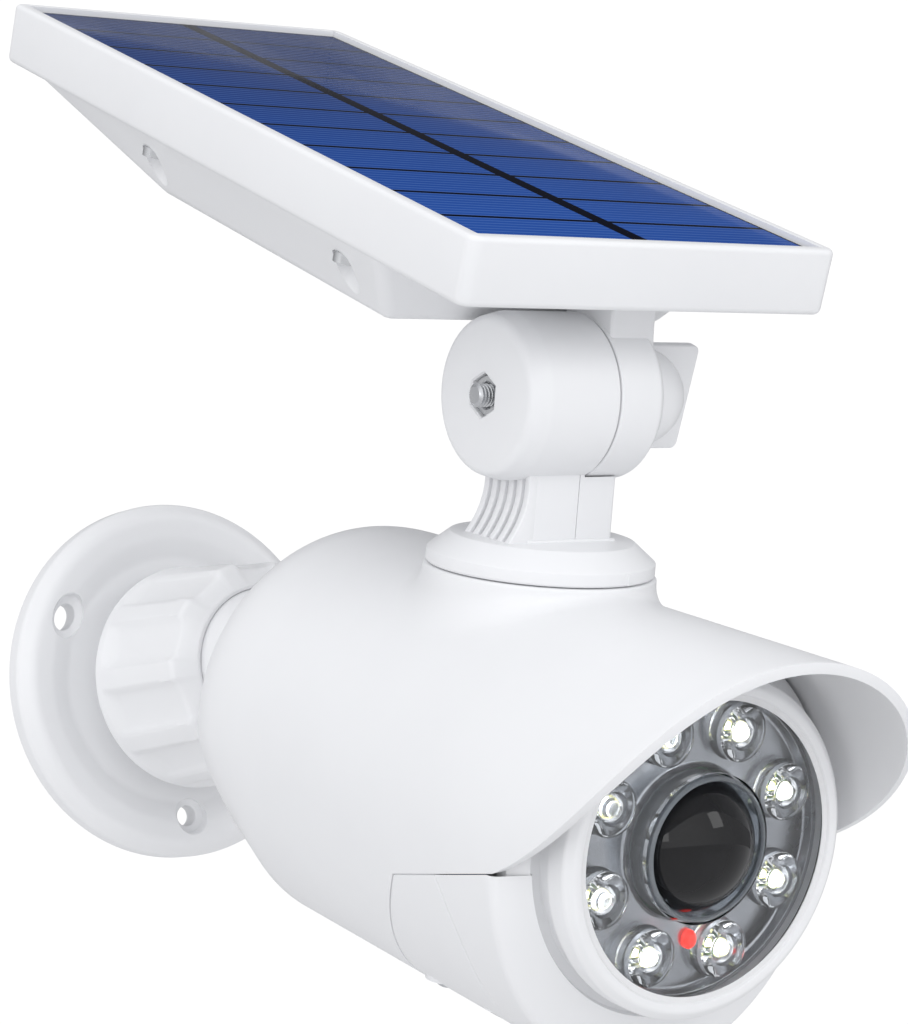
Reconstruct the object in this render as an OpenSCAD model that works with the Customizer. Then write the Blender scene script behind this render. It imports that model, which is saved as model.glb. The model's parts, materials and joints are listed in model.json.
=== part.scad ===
// Solar security light in the shape of a bullet camera.
// Origin: centre of the wall plate's back face. The wall is at +Y, the lamp looks along -Y, +Z is up.
// Everything in front of the ball joint is drawn in a head frame: its origin is the ball's centre,
// +Z is up across the head, and the lamp looks along -Y. Distances along the head are called "ahead".

/* [Wall mount] */
// Radius of the wall plate
plate_r = 44.8; // [42:0.1:50]
// Thickness of the wall plate at its raised rim
plate_t = 8.5; // [7:0.1:10]
// Radius of the circle that the wall screws stand on
wall_screw_circle_r = 34.5; // [33.5:0.1:36]
// Radius of each wall screw hole
wall_screw_hole_r = 2.6; // [2:0.1:3]
// Number of grip lobes on the clamp ring
ring_lobes = 10; // [8:1:14]

/* [Ball joint] */
// Distance from the wall to the ball's centre
ball_out = 42; // [42:0.5:46]
// Radius of the ball
ball_r = 20; // [19.5:0.1:20]
// Downward pitch of the head at rest
head_pitch = 17; // [5:1:20]

/* [Head] */
// Radius of the head's round shell
shell_r = 44; // [43:0.1:45]
// Wall thickness of the plastic housings
wall = 2.2; // [1.8:0.1:2.6]
// How far the belly hangs below a round section
belly_drop = 4.5; // [4:0.5:6]
// Distance from the ball's centre to the front window
window_ahead = 174.7; // [174:0.1:176]
// Radius of the clear window
window_r = 30; // [29:0.1:30.4]
// Outer radius of the ring round the window
bezel_r = 35; // [34.6:0.1:35.6]

/* [Lamp] */
// Number of light-emitting diodes in the ring
led_count = 8; // [6:1:8]
// Radius of the circle that the diodes stand on
led_circle_r = 23.8; // [23:0.1:24]
// Front radius of each diode's lens
led_lens_r = 5.8; // [5:0.1:6]
// Radius of the dark sensor dome at its foot
dome_r = 13.6; // [12:0.1:14]

/* [Solar panel] */
// Width of the panel frame
panel_w = 93.6; // [90:0.1:98]
// Length of the panel frame
panel_l = 203; // [195:1:206]
// Thickness of the panel frame
panel_t = 14.2; // [13:0.1:15]
// Tilt of the panel against the head at rest
panel_tilt = 11; // [5:1:20]
// Number of cell strips along each column
strips = 11; // [9:1:13]

/* [Hidden] */
$fn = 96;
clear = 0.3;              // gap between curved faces that move past each other
pin_clear = 0.06;         // radial clearance of the hinge bolt
fuse = 0.01;

// Stations along the head, measured ahead of the ball's centre
neck_r = 15;
neck_end = 46;
dome_start = 39;
dome_len = 24.5;
dome_end = dome_start + dome_len;
hood_taper = 0.0095;      // ahead of the dome, the round shell narrows by this much for each unit
belly_rear_cut = 19.5;    // depth at which the slope under the rear starts
flank_rear_cut = 28;      // and the same for the slopes at its two flanks
swivel_ahead = 112.7;
belly_rear_top = 126.5;   // rear corner of the belly cover at the side seam
belly_rear_low = 105;
belly_split = 146;        // joint between the belly cover and the front housing
shoulder = 163;           // front shoulder of the front housing
seam_front = 162.5;
seam_front_z = -4.2;
seam_slope = 0.274;
belly_low_z = -52;
visor_axis = [129.6, 59.7];  // ahead and up: the visor's edge is an arc about this axis
visor_edge_r = 71.9;
tube_r = 33.6;
tube_front = 171.5;
board_ahead = 159;
lens_front = 171;
lens_back = 162.4;

// Panel swivel and hinge, heights in the head frame
gap_z = 45.0;
turntable_r = 24.3;
pedestal_r = 24.8;
turntable_top_z = 52;
hub_r = 9;
hinge_z = 81.8;
disc_r = 17.6;
left_disc_x = [-18.5, 3.8];
right_disc_x = [4.5, 17];
bolt_r = 2.5;
neck_x = [-9.5, 12.5];
neck_y = 8;
ribs = 6;
rib_t = 1.7;

// Panel frame in the hinge frame: origin on the hinge axis, +Z up through the panel
panel_under = 25.9;
panel_front = -25;
panel_top = panel_under + panel_t;
rim = 3;
glass_sink = 1.3;
glass_t = 3.2;
hump_low = 11;
hump_slope_in = 10.5;
hump_y = [6, 163];
hump_floor_y = [14.6, 111];
panel_screw_x = 41.3;
panel_screw_ys = [24, 108];

// Battery, controls and switch in the head frame
cell_r = 9.1;
cell_l = 65;
cell_ahead = 62;
cell_z = -24;
floor_z = cell_z - cell_r - 2.8;
button_ahead = 136;
button_r = 5;
boot_r = 8;
cover_screws_ahead = [118, 139];
cover_screw_z = -41.6;
screw_floor = 2;          // plastic under the head of each screw in the belly

// Colours
c_white = [0.93, 0.94, 0.95];
c_clear = [0.85, 0.9, 0.95, 0.5];
c_dark = [0.1, 0.1, 0.11];
c_steel = [0.7, 0.71, 0.72];
c_board = [0.1, 0.35, 0.2];

// ---- Placement -------------------------------------------------------------

// Turns a shape drawn along +Z so that it runs ahead, along -Y
module ahead() {
  rotate([90, 0, 0]) children();
}

// Puts a shape drawn in the head frame into the model's frame
module head() {
  translate([0, -ball_out, 0]) rotate([head_pitch, 0, 0]) children();
}

// Puts a shape drawn in the hinge frame into the head frame
module panel() {
  translate([0, -swivel_ahead, hinge_z]) rotate([panel_tilt, 0, 0]) children();
}

// Copies a shape to every diode's place
module at_leds() {
  for (i = [0 : led_count - 1])
    rotate([0, (i + 0.5) * 360 / led_count, 0]) translate([0, 0, led_circle_r]) children();
}

// A cylinder that runs along X between two values of x
module along_x(x0, x1, r, segments = 96) {
  translate([x0, 0, 0]) rotate([0, 90, 0]) cylinder(h = x1 - x0, r = r, $fn = segments);
}

// A block given by its low and high corners
module block(low, high) {
  translate(low) cube(high - low);
}

// A side view, drawn as [ahead, up], given a width across the head
module side(width) {
  rotate([90, 0, -90]) linear_extrude(width, center = true) children();
}

// A flat bar with rounded corners, drawn from its low corner
module rounded_slab(size, r) {
  linear_extrude(size[2]) translate([r, r]) union() {
    square([size[0] - 2 * r, size[1] - 2 * r]);
    translate([-r, 0]) square([size[0], size[1] - 2 * r]);
    translate([0, -r]) square([size[0] - 2 * r, size[1]]);
    for (x = [0, size[0] - 2 * r], y = [0, size[1] - 2 * r])
      translate([x, y]) circle(r = r, $fn = 24);
  }
}

// ---- Wall mount ------------------------------------------------------------

module wall_plate() {
  socket_r = 22;
  socket_end = 44;
  slot_w = 2;
  color(c_white) difference() {
    ahead() rotate_extrude() union() {
      polygon([[0, 0], [plate_r, 0], [plate_r, 4.5], [36, plate_t - 1], [31, 5.5], [0, 5.5]]);
      translate([0, 4]) square([socket_r, socket_end - 4]);
      translate([plate_r - 4, 4.5]) circle(r = 4, $fn = 48);
      polygon([[36, 4], [plate_r - 4, 4], [plate_r - 4, plate_t], [36, plate_t - 1]]);
    }
    translate([0, -ball_out, 0]) sphere(r = ball_r + clear);
    for (a = [45, 135])
      rotate([0, a, 0]) block([-slot_w / 2, -socket_end - 1, -30], [slot_w / 2, -ball_out + 14, 30]);
    for (a = [30, 150, 270])
      rotate([0, -a, 0]) translate([wall_screw_circle_r, 1, 0]) ahead() {
        cylinder(h = 20, r = wall_screw_hole_r);
        translate([0, 0, 5]) cylinder(h = 20, r = wall_screw_hole_r + 1.9);
      }
  }
}

module clamp_ring() {
  rear = 13;
  front = 50.3;
  rear_r = 27.8;
  front_r = 25.3;
  flute_r = 4;
  color(c_white) difference() {
    ahead() rotate_extrude() polygon([
      [22.6, rear], [27.4, rear], [27.6, rear + 2.5], [rear_r - 0.4, rear + 3.5],
      [front_r, front - 2.5], [front_r - 1.2, front - 1], [18.9, front], [18.6, front - 0.5],
      [22.6, 44]
    ]);
    for (i = [0 : ring_lobes - 1])
      rotate([0, i * 360 / ring_lobes, 0]) translate([0, 0, rear_r + flute_r - 1.6])
        translate([0, -rear - 3.5, 0]) rotate([93.2, 0, 0]) cylinder(h = 60, r = flute_r, $fn = 32);
  }
}

// ---- Ball joint ------------------------------------------------------------

module ball_core() {
  color(c_steel) head() sphere(r = 6);
}

module ball_liner() {
  color(c_steel) head() difference() {
    sphere(r = 9.4);
    sphere(r = 6 + clear);
  }
}

// Ball and stem in one piece, with a waist that clears the clamp ring's mouth
module ball_stem() {
  waist_r = 11.2;
  color(c_white) head() difference() {
    union() {
      sphere(r = ball_r);
      ahead() rotate_extrude() polygon([
        [0, 0], [waist_r, 0], [waist_r, 15.5], [neck_r, 22], [neck_r, dome_start - 0.2], [0, dome_start - 0.2]
      ]);
      ahead() cylinder(h = neck_end, r = neck_r - 4);
    }
    sphere(r = 9.4 + clear);
    ahead() translate([0, 0, 24]) cylinder(h = 40, r = 2);
  }
}

// Screw with a washer head that pulls the stem against the shell's rear wall
module stem_screw() {
  color(c_steel) head() ahead() {
    translate([0, 0, 26]) cylinder(h = neck_end - 26 + fuse, r = 1.98);
    translate([0, 0, neck_end]) cylinder(h = 1, r = 8);
    translate([0, 0, neck_end + 1]) cylinder(h = 2.6, r = 3.6);
  }
}

// ---- Head housings ---------------------------------------------------------

// Height of the side seam, and how far ahead the belly cover's rear edge lies
function seam_z(a) = seam_front_z + (a - seam_front) * seam_slope;
function rear_edge(z) = belly_rear_top + (z - seam_z(belly_rear_top))
  * (belly_rear_top - belly_rear_low) / (seam_z(belly_rear_top) - belly_low_z);

// Radius of the shell ahead of the dome, and the height of the belly's lowest line
function shell_radius(a) = shell_r - hood_taper * (a - dome_end);
function belly_bottom(a) = -belly_drop - shell_radius(a);

// Outline of the rounded rear, as [radius, ahead], inside the surface by inset
function dome_points(inset) = [
  for (t = [0 : 1 / 16 : 1])
    [neck_r + 1 + (shell_r - neck_r - 1) * pow(1 - pow(t, 3), 1 / 3) - inset,
     dome_start + dome_len * (1 - t) + max(0, inset) * t]
];

// Region above a raked plane under the rear, turned about the head's axis. The plane lies depth below
// the axis where the dome starts, and falls by fall for each unit ahead
module above_rake(turn, depth, fall, inset, end) {
  back = dome_start - 20;
  top = 80;
  function rake_z(a) = inset * norm([1, fall]) - depth - fall * (a - dome_start);
  rotate([0, turn, 0]) side(160)
    polygon([[back, rake_z(back)], [end + 1, rake_z(end + 1)], [end + 1, top], [back, top]]);
}

// The head's outer form, or its hollow when inset is a wall's thickness, up to a flat end
module head_form(inset, end) {
  intersection() {
    union() {
      for (drop = [0, belly_drop])
        translate([0, 0, -drop]) ahead() rotate_extrude()
          polygon(concat([[0, end], [shell_radius(end) - inset, end]], dome_points(inset),
            [[0, dome_start + inset]]));
    }
    above_rake(0, belly_rear_cut, 1.15, inset, end);
    for (turn = [-45, 45]) above_rake(turn, flank_rear_cut, 0.92, inset, end);
  }
}

// Region below the side seam between the belly's rear edge and a front end
module below_seam(rear_gap, front, gap) {
  deep = belly_low_z - 8;
  side(120) polygon([
    [belly_rear_top + rear_gap, seam_z(belly_rear_top + rear_gap) - gap], [front, seam_z(front) - gap],
    [front, deep], [rear_edge(deep) + rear_gap, deep]
  ]);
}

module top_shell() {
  far = 215;
  color(c_white) head() difference() {
    union() {
      head_form(0, far - 5);
      translate([0, -swivel_ahead, 18]) cylinder(h = gap_z - 18, r = pedestal_r);
    }
    head_form(wall, far);
    translate([0, -swivel_ahead, 10]) cylinder(h = gap_z - 12.6, r = pedestal_r - wall);
    translate([0, -swivel_ahead, 10]) cylinder(h = 50, r = hub_r);
    ahead() cylinder(h = 60, r = neck_r - 4 + 0.1);
    below_seam(0, seam_front + 0.1, 0);
    side(120) difference() {
      translate([seam_front, -60]) square([60, 140]);
      translate(visor_axis) circle(r = visor_edge_r, $fn = 180);
    }
  }
}

module belly_cover() {
  boss_r = 5;
  color(c_white) head() difference() {
    union() {
      difference() {
        intersection() {
          head_form(0.05, belly_split);
          below_seam(0.15, belly_split - 0.1, 0.15);
        }
        head_form(wall, belly_split + 5);
      }
      intersection() {
        head_form(0.5, belly_split);
        at_cover_screws() translate([0, 0, -4]) cylinder(h = 4 + screw_floor, r = boss_r);
      }
    }
    translate([0, -button_ahead, belly_bottom(button_ahead) - 2]) {
      cylinder(h = 30, r = button_r + clear);
      cylinder(h = 3.1, r = boot_r + 0.2);
    }
    at_cover_screws() {
      cylinder(h = 30, r = 1.6, center = true);
      translate([0, 0, -10]) cylinder(h = 10, r = 3.2);
    }
  }
}

// Puts a shape at each screw under the belly, with its origin at the seat of the head
module at_cover_screws() {
  for (x = [-19, 19], a = cover_screws_ahead) translate([x, -a, cover_screw_z]) children();
}

module front_housing() {
  plate = shoulder - wall;
  color(c_white) head() difference() {
    union() {
      intersection() {
        head_form(0.05, shoulder);
        below_seam(belly_split + 0.1 - belly_rear_top, shoulder, 0.15);
        ahead() translate([0, 0, belly_split + 0.1]) cylinder(h = 40, r = 80);
      }
      ahead() translate([0, 0, plate]) cylinder(h = wall, r = shell_radius(shoulder) - wall - 0.2);
      ahead() translate([0, 0, belly_split + 0.5]) cylinder(h = tube_front - belly_split - 0.5, r = tube_r);
    }
    difference() {
      head_form(wall, plate);
      ahead() translate([0, 0, 100]) cylinder(h = 100, r = tube_r);
    }
    ahead() translate([0, 0, belly_split + 0.5 + wall]) cylinder(h = 40, r = tube_r - wall);
    ahead() translate([0, 0, 100]) cylinder(h = 100, r = 4);
  }
}

module bezel_ring() {
  color(c_white) head() ahead() rotate_extrude() difference() {
    union() {
      polygon([
        [tube_r + 0.1, 168.5], [bezel_r, 168.5], [bezel_r, window_ahead - 2],
        [bezel_r - 1.5, window_ahead + 0.6], [window_r + 0.6, window_ahead + 0.6],
        [window_r, window_ahead], [window_r, window_ahead - 0.1], [tube_r + 0.1, window_ahead - 0.1]
      ]);
      translate([bezel_r - 1.6, window_ahead - 1]) circle(r = 1.6, $fn = 32);
    }
    translate([0, 168]) square([tube_r + 0.1, window_ahead - 168.1]);
  }
}

module window_gasket() {
  color(c_dark) head() ahead() translate([0, 0, tube_front]) difference() {
    cylinder(h = 1.2, r = tube_r - 0.1);
    translate([0, 0, -1]) cylinder(h = 4, r = tube_r - wall);
  }
}

module front_window() {
  color(c_clear) head() ahead() translate([0, 0, tube_front + 1.2]) difference() {
    cylinder(h = window_ahead - 0.1 - tube_front - 1.2, r = tube_r - 0.2);
    translate([0, 0, -1]) cylinder(h = 6, r = dome_r + 1.7);
  }
}

// ---- Lamp ------------------------------------------------------------------

module reflector() {
  color(c_steel) head() difference() {
    ahead() difference() {
      translate([0, 0, board_ahead + 1.6]) cylinder(h = 7.4, r = tube_r - wall - 0.1);
      translate([0, 0, board_ahead]) cylinder(h = 7.5, r = tube_r - wall - 1.3);
      translate([0, 0, board_ahead]) cylinder(h = 20, r = 15.4);
    }
    at_leds() ahead() translate([0, 0, board_ahead]) cylinder(h = 20, r = 5.3);
    indicator_place() cylinder(h = 20, r = 1.7);
  }
}

module led_lenses() {
  depth = lens_front - lens_back;
  color(c_clear) head() at_leds() ahead() translate([0, 0, lens_back]) rotate_extrude($fn = 48)
    polygon([
      [0, 2.2], [1.6, 2.2], [1.8, 0], [2.6, 0], [4.3, depth * 0.5],
      [led_lens_r, depth - 1], [led_lens_r, depth],
      [2.4, depth], [1.6, depth - 1.2], [0, depth - 1.2]
    ]);
}

module led_board() {
  color(c_board) head() ahead() translate([0, 0, board_ahead]) difference() {
    cylinder(h = 1.6, r = tube_r - wall - 0.1);
    translate([0, 0, -1]) cylinder(h = 4, r = 1.5);
  }
}

module led_emitters() {
  color("gold") head() at_leds() ahead() translate([-1.75, -1.75, board_ahead + 1.6]) cube([3.5, 3.5, 0.8]);
}

// Puts a shape drawn along +Z at the indicator's place on the board, running ahead
module indicator_place() {
  translate([1.8, 0, -19.9]) ahead() translate([0, 0, board_ahead + 1.6]) children();
}

module indicator_led() {
  color("red") head() indicator_place() {
    cylinder(h = 8, r = 1.5);
    translate([0, 0, 8]) sphere(r = 1.5);
  }
}

module sensor_dome() {
  ball = 15;
  tip = 180.2;
  foot = 167.7;
  skin = 1.4;
  centre = tip - ball;
  sweep = asin(dome_r / ball);
  outside = [for (t = [sweep : -sweep / 12 : -0.01]) [ball * sin(max(0, t)), centre + ball * cos(t)]];
  inside = [for (t = [0 : sweep / 12 : sweep + 0.01])
    [(dome_r - skin) * sin(t) / sin(sweep), centre + (ball - skin) * cos(t)]];
  color(c_dark) head() ahead() rotate_extrude()
    polygon(concat([[dome_r - skin, foot], [dome_r, foot]], outside, inside));
}

module dome_ring() {
  color(c_clear) head() ahead() translate([0, 0, 167.7]) difference() {
    cylinder(h = window_ahead + 0.8 - 167.7, r = dome_r + 1.5);
    translate([0, 0, -1]) cylinder(h = 20, r = dome_r + 0.1);
  }
}

module sensor_can() {
  color(c_steel) head() ahead() translate([0, 0, board_ahead + 1.6]) union() {
    cylinder(h = 0.6, r = 5);
    cylinder(h = 4.4, r = 4.5);
  }
}

// ---- Controls and battery --------------------------------------------------

module control_board() {
  color(c_board) head() union() {
    block([-20, -140, 4], [20, -66, 5.6]);
    block([-12, -100, 5.5], [-2, -88, 8]);
    block([4, -122, 5.5], [14, -112, 11]);
    for (a = [74, 84]) translate([8, -a, 5.5]) cylinder(h = 11, r = 4);
    block([-16, -134, 5.5], [-4, -124, 10]);
  }
}

module battery_cell() {
  color("royalblue") head() translate([0, -cell_ahead, cell_z]) ahead() union() {
    cylinder(h = cell_l - 1.5, r = cell_r);
    cylinder(h = cell_l, r = 3);
  }
}

module battery_cradle() {
  color(c_dark) head() difference() {
    union() {
      block([-11.5, -cell_ahead - cell_l - 5, floor_z], [11.5, -cell_ahead + 5, cell_z]);
      block([-23, -148, floor_z], [23, -114, floor_z + 2]);
      at_cover_screws() translate([0, 0, screw_floor + 0.1])
        cylinder(h = floor_z + 1 - cover_screw_z - screw_floor, r = 4);
    }
    translate([0, -cell_ahead + 1, cell_z]) ahead() cylinder(h = cell_l + 2, r = cell_r + 0.15);
    at_cover_screws() cylinder(h = 40, r = 1.5, center = true);
  }
}

module battery_contacts() {
  color(c_steel) head() for (y = [-cell_ahead + 0.1, -cell_ahead - cell_l - 0.9])
    block([-4, y, cell_z - 4], [4, y + 0.8, cell_z + 14]);
}

module cover_screws() {
  color(c_steel) head() at_cover_screws() {
    translate([0, 0, -1.9]) cylinder(h = 1.9, r = 2.8);
    cylinder(h = 9.5, r = 1.48);
  }
}

module button_boot() {
  color(c_dark) head() translate([0, -button_ahead, belly_bottom(button_ahead) + 0.2]) difference() {
    cylinder(h = 0.9, r = boot_r);
    translate([0, 0, -1]) cylinder(h = 3, r = button_r + clear);
  }
}

module mode_button() {
  color(c_dark) head() translate([0, -button_ahead, belly_bottom(button_ahead)]) union() {
    translate([0, 0, -1.2]) cylinder(h = 5.8, r = button_r);
    translate([0, 0, 3.05]) cylinder(h = 1, r = button_r + 1);
  }
}

module tact_switch() {
  stem_z = belly_bottom(button_ahead) + 6.25;
  color(c_steel) head() translate([0, -button_ahead, 0]) union() {
    block([-3, -3, stem_z + 2], [3, 3, floor_z]);
    translate([0, 0, stem_z]) cylinder(h = 3, r = 1.7);
  }
}

// ---- Panel swivel and hinge ------------------------------------------------

// One upright rib beside the neck, flared towards the turntable
module neck_rib() {
  translate([0, rib_t / 2, 0]) rotate([90, 0, 0]) linear_extrude(rib_t) difference() {
    polygon([[neck_x[0] + 1, turntable_top_z - fuse], [neck_x[0] - 5, turntable_top_z - fuse],
      [neck_x[0] - 3.5, hinge_z - 14], [neck_x[0] + 1, hinge_z - 14]]);
    translate([neck_x[0] - 12.2, turntable_top_z + 9]) circle(r = 9, $fn = 64);
  }
}

module swivel_base() {
  edge = 5;
  color(c_white) head() translate([0, -swivel_ahead, 0]) difference() {
    union() {
      rotate_extrude() polygon([
        [0, gap_z + clear], [turntable_r, gap_z + clear], [turntable_r, gap_z + 3],
        [turntable_r - 4.7, turntable_top_z], [0, turntable_top_z]
      ]);
      translate([0, 0, gap_z - 3.1]) cylinder(h = 4, r = hub_r - pin_clear);
      block([neck_x[0], -neck_y, turntable_top_z - 1], [neck_x[1], neck_y, hinge_z]);
      for (i = [0 : ribs - 1])
        translate([0, rib_t / 2 - neck_y + i * (2 * neck_y - rib_t) / (ribs - 1), 0]) neck_rib();
      translate([0, 0, hinge_z]) rotate([0, 90, 0]) rotate_extrude() union() {
        translate([0, left_disc_x[0]]) square([disc_r - edge, left_disc_x[1] - left_disc_x[0]]);
        translate([0, left_disc_x[0] + edge]) square([disc_r, left_disc_x[1] - left_disc_x[0] - edge]);
        intersection() {
          translate([disc_r - edge, left_disc_x[0] + edge]) circle(r = edge, $fn = 64);
          translate([disc_r - edge, left_disc_x[0]]) square(edge);
        }
      }
    }
    translate([0, 0, hinge_z]) {
      along_x(left_disc_x[1], 30, disc_r + 0.4);
      along_x(-30, 30, bolt_r + pin_clear);
      along_x(-30, left_disc_x[0] + 5, 4.7, 6);
    }
    translate([0, 0, 30]) cylinder(h = 30, r = 2);
  }
}

module swivel_washer() {
  color(c_steel) head() translate([0, -swivel_ahead, gap_z - 4.2]) difference() {
    cylinder(h = 1.1, r = 12);
    translate([0, 0, -1]) cylinder(h = 4, r = 2.1);
  }
}

module swivel_screw() {
  color(c_steel) head() translate([0, -swivel_ahead, gap_z - 4.2]) {
    translate([0, 0, -2.2]) cylinder(h = 2.2, r = 3.6);
    cylinder(h = 16, r = 1.98);
  }
}

module hinge_nut() {
  color(c_steel) head() translate([0, -swivel_ahead, hinge_z]) difference() {
    along_x(left_disc_x[0] + 1, left_disc_x[0] + 5, 4.62, 6);
    along_x(-30, 0, bolt_r + pin_clear);
  }
}

module wing_knob() {
  foot = right_disc_x[1] + 0.3;
  knob_r = 11.5;
  dome = [for (t = [0 : 5 : 90]) [knob_r * cos(t), foot + 1 + 14 * sin(t)]];
  color(c_white) head() translate([0, -swivel_ahead, hinge_z]) difference() {
    union() {
      rotate([0, 90, 0]) rotate_extrude() polygon(concat([[0, foot], [knob_r, foot]], dome));
      rotate([13, 0, 0]) block([foot + 0.4, -1.3, -11.8], [foot + 18, 1.3, 11.8]);
    }
    along_x(0, foot + 8, bolt_r);
  }
}

module hinge_bolt() {
  color(c_steel) head() translate([0, -swivel_ahead, hinge_z])
    along_x(left_disc_x[0] - 2, right_disc_x[1] + 8.3, bolt_r);
}

module friction_washer() {
  color(c_steel) head() translate([0, -swivel_ahead, hinge_z]) difference() {
    along_x(left_disc_x[1] + 0.1, right_disc_x[0], 12);
    along_x(0, 5, bolt_r + clear);
  }
}

// ---- Solar panel -----------------------------------------------------------

module panel_arm() {
  color(c_white) head() panel() difference() {
    union() {
      along_x(right_disc_x[0], right_disc_x[1], disc_r);
      block([right_disc_x[0], -7, 0], [right_disc_x[1], hump_y[0] - 0.1, panel_under]);
    }
    along_x(0, 30, bolt_r + pin_clear);
    for (y = [-4, 4]) translate([10.8, y, panel_under - 8]) cylinder(h = 20, r = 1.2);
  }
}

module panel_frame() {
  color(c_white) head() panel() difference() {
    translate([-panel_w / 2, panel_front, panel_under]) rounded_slab([panel_w, panel_l, panel_t], 3);
    block([-panel_w / 2 + rim, panel_front + rim, panel_top - glass_sink - glass_t],
      [panel_w / 2 - rim, panel_front + panel_l - rim, panel_top + 1]);
    block([-36, hump_floor_y[0], panel_under - 1], [36, hump_y[1] - 12, panel_under + 7]);
    for (x = [-panel_screw_x, panel_screw_x], y = panel_screw_ys)
      translate([x, y, panel_under - 1]) cylinder(h = 7.5, r = 1.5);
  }
}

module panel_glass() {
  thick = glass_t - 0.4;
  color("navy") head() panel()
    translate([-panel_w / 2 + rim + 0.1, panel_front + rim + 0.1, panel_top - glass_sink - thick])
      cube([panel_w - 2 * rim - 0.2, panel_l - 2 * rim - 0.2, thick]);
}

module cell_strips() {
  margin = 1.2;
  gap = 0.5;
  middle = 4;
  length = panel_l - 2 * rim - 2 * margin;
  pitch = length / strips;
  width = (panel_w - 2 * rim - 2 * margin - middle) / 2;
  color("royalblue") head() panel()
    for (i = [0 : strips - 1], x = [-width - middle / 2, middle / 2])
      translate([x, panel_front + rim + margin + i * pitch, panel_top - glass_sink - glass_t])
        cube([width, pitch - gap, 0.4]);
}

// A bar whose ends and sides slope in from the panel's underside to its own floor
module hump_form(inset) {
  half = panel_w / 2 - 0.8 - inset;
  hull() {
    translate([-half, hump_y[0] + inset, panel_under - 0.1])
      cube([2 * half, hump_y[1] - hump_y[0] - 2 * inset, 0.1 + (inset > 0 ? 1 : 0)]);
    translate([-half + hump_slope_in, hump_floor_y[0] + inset, hump_low + inset])
      cube([2 * half - 2 * hump_slope_in, hump_floor_y[1] - hump_floor_y[0] - 2 * inset, 0.1]);
  }
}

module panel_cover() {
  color(c_white) head() panel() difference() {
    union() {
      difference() {
        hump_form(0);
        hump_form(wall);
      }
      intersection() {
        hump_form(0);
        at_panel_screws() translate([0, 0, -10]) cylinder(h = 13, r = 5.4);
      }
    }
    at_panel_screws() {
      translate([0, 0, -12]) cylinder(h = 12, r = 3.7);
      cylinder(h = 10, r = 1.6, center = true);
    }
  }
}

// Puts a shape at each screw of the rear cover, with its origin at the seat of the head
module at_panel_screws() {
  for (x = [-panel_screw_x, panel_screw_x], y = panel_screw_ys)
    translate([x, y, panel_under - 3]) children();
}

module panel_screws() {
  color(c_steel) head() panel() at_panel_screws() {
    translate([0, 0, -2.2]) cylinder(h = 2.2, r = 3);
    cylinder(h = 9, r = 1.48);
  }
}

module charge_board() {
  floor_z = hump_low + wall;
  color(c_board) head() panel() union() {
    block([-18, 40, floor_z], [18, 84, floor_z + 1.6]);
    block([-10, 50, floor_z + 1.5], [0, 60, floor_z + 4]);
    translate([8, 70, floor_z + 1.5]) cylinder(h = 6, r = 3);
  }
}

module panel_lead() {
  top = panel_under + 7;
  color("red") head() panel() for (x = [-2, 2])
    translate([x, 76, hump_low + wall + 1.6]) cylinder(h = top - hump_low - wall - 1.6, r = 0.9);
}

wall_plate();
clamp_ring();
ball_core();
ball_liner();
ball_stem();
stem_screw();
top_shell();
belly_cover();
front_housing();
bezel_ring();
window_gasket();
front_window();
reflector();
led_lenses();
led_board();
led_emitters();
indicator_led();
sensor_dome();
dome_ring();
sensor_can();
control_board();
battery_cell();
battery_cradle();
battery_contacts();
cover_screws();
button_boot();
mode_button();
tact_switch();
swivel_base();
swivel_washer();
swivel_screw();
hinge_nut();
wing_knob();
hinge_bolt();
friction_washer();
panel_arm();
panel_frame();
panel_glass();
cell_strips();
panel_cover();
panel_screws();
charge_board();
panel_lead();
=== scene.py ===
import json
import logging
import math
from collections.abc import Callable, Sequence
from dataclasses import dataclass, field
from enum import Enum

import bmesh
import bpy
from mathutils import Matrix, Vector


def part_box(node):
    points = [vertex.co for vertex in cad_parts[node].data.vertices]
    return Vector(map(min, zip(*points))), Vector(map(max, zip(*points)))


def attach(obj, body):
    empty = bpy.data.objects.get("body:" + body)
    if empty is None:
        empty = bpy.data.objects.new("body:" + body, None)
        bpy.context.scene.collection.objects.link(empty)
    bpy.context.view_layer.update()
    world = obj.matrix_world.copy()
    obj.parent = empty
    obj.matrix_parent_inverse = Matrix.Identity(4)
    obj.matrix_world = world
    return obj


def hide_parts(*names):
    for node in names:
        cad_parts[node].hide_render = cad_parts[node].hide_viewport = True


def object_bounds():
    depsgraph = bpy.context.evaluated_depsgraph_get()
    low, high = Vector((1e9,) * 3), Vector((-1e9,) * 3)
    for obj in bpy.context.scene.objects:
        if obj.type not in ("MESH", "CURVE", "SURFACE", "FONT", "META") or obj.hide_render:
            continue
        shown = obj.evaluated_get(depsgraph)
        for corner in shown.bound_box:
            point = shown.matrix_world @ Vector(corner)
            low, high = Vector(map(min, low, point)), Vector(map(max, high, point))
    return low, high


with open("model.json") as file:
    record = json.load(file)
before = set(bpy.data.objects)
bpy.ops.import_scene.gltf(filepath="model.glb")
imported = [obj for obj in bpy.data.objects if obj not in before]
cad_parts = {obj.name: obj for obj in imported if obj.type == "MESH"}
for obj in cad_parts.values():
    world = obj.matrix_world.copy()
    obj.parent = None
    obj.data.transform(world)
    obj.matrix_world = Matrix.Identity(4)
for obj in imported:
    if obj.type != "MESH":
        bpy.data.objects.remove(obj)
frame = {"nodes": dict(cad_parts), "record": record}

CAD_BOX = [[float(v) for v in corner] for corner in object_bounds()]
MM = 0.001
HEAD_PITCH = math.radians(17.0)
BALL_OUT = 0.042
SWIVEL_AHEAD = 0.1127
HINGE_UP = 0.0818
PANEL_TILT = math.radians(11.0)

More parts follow.
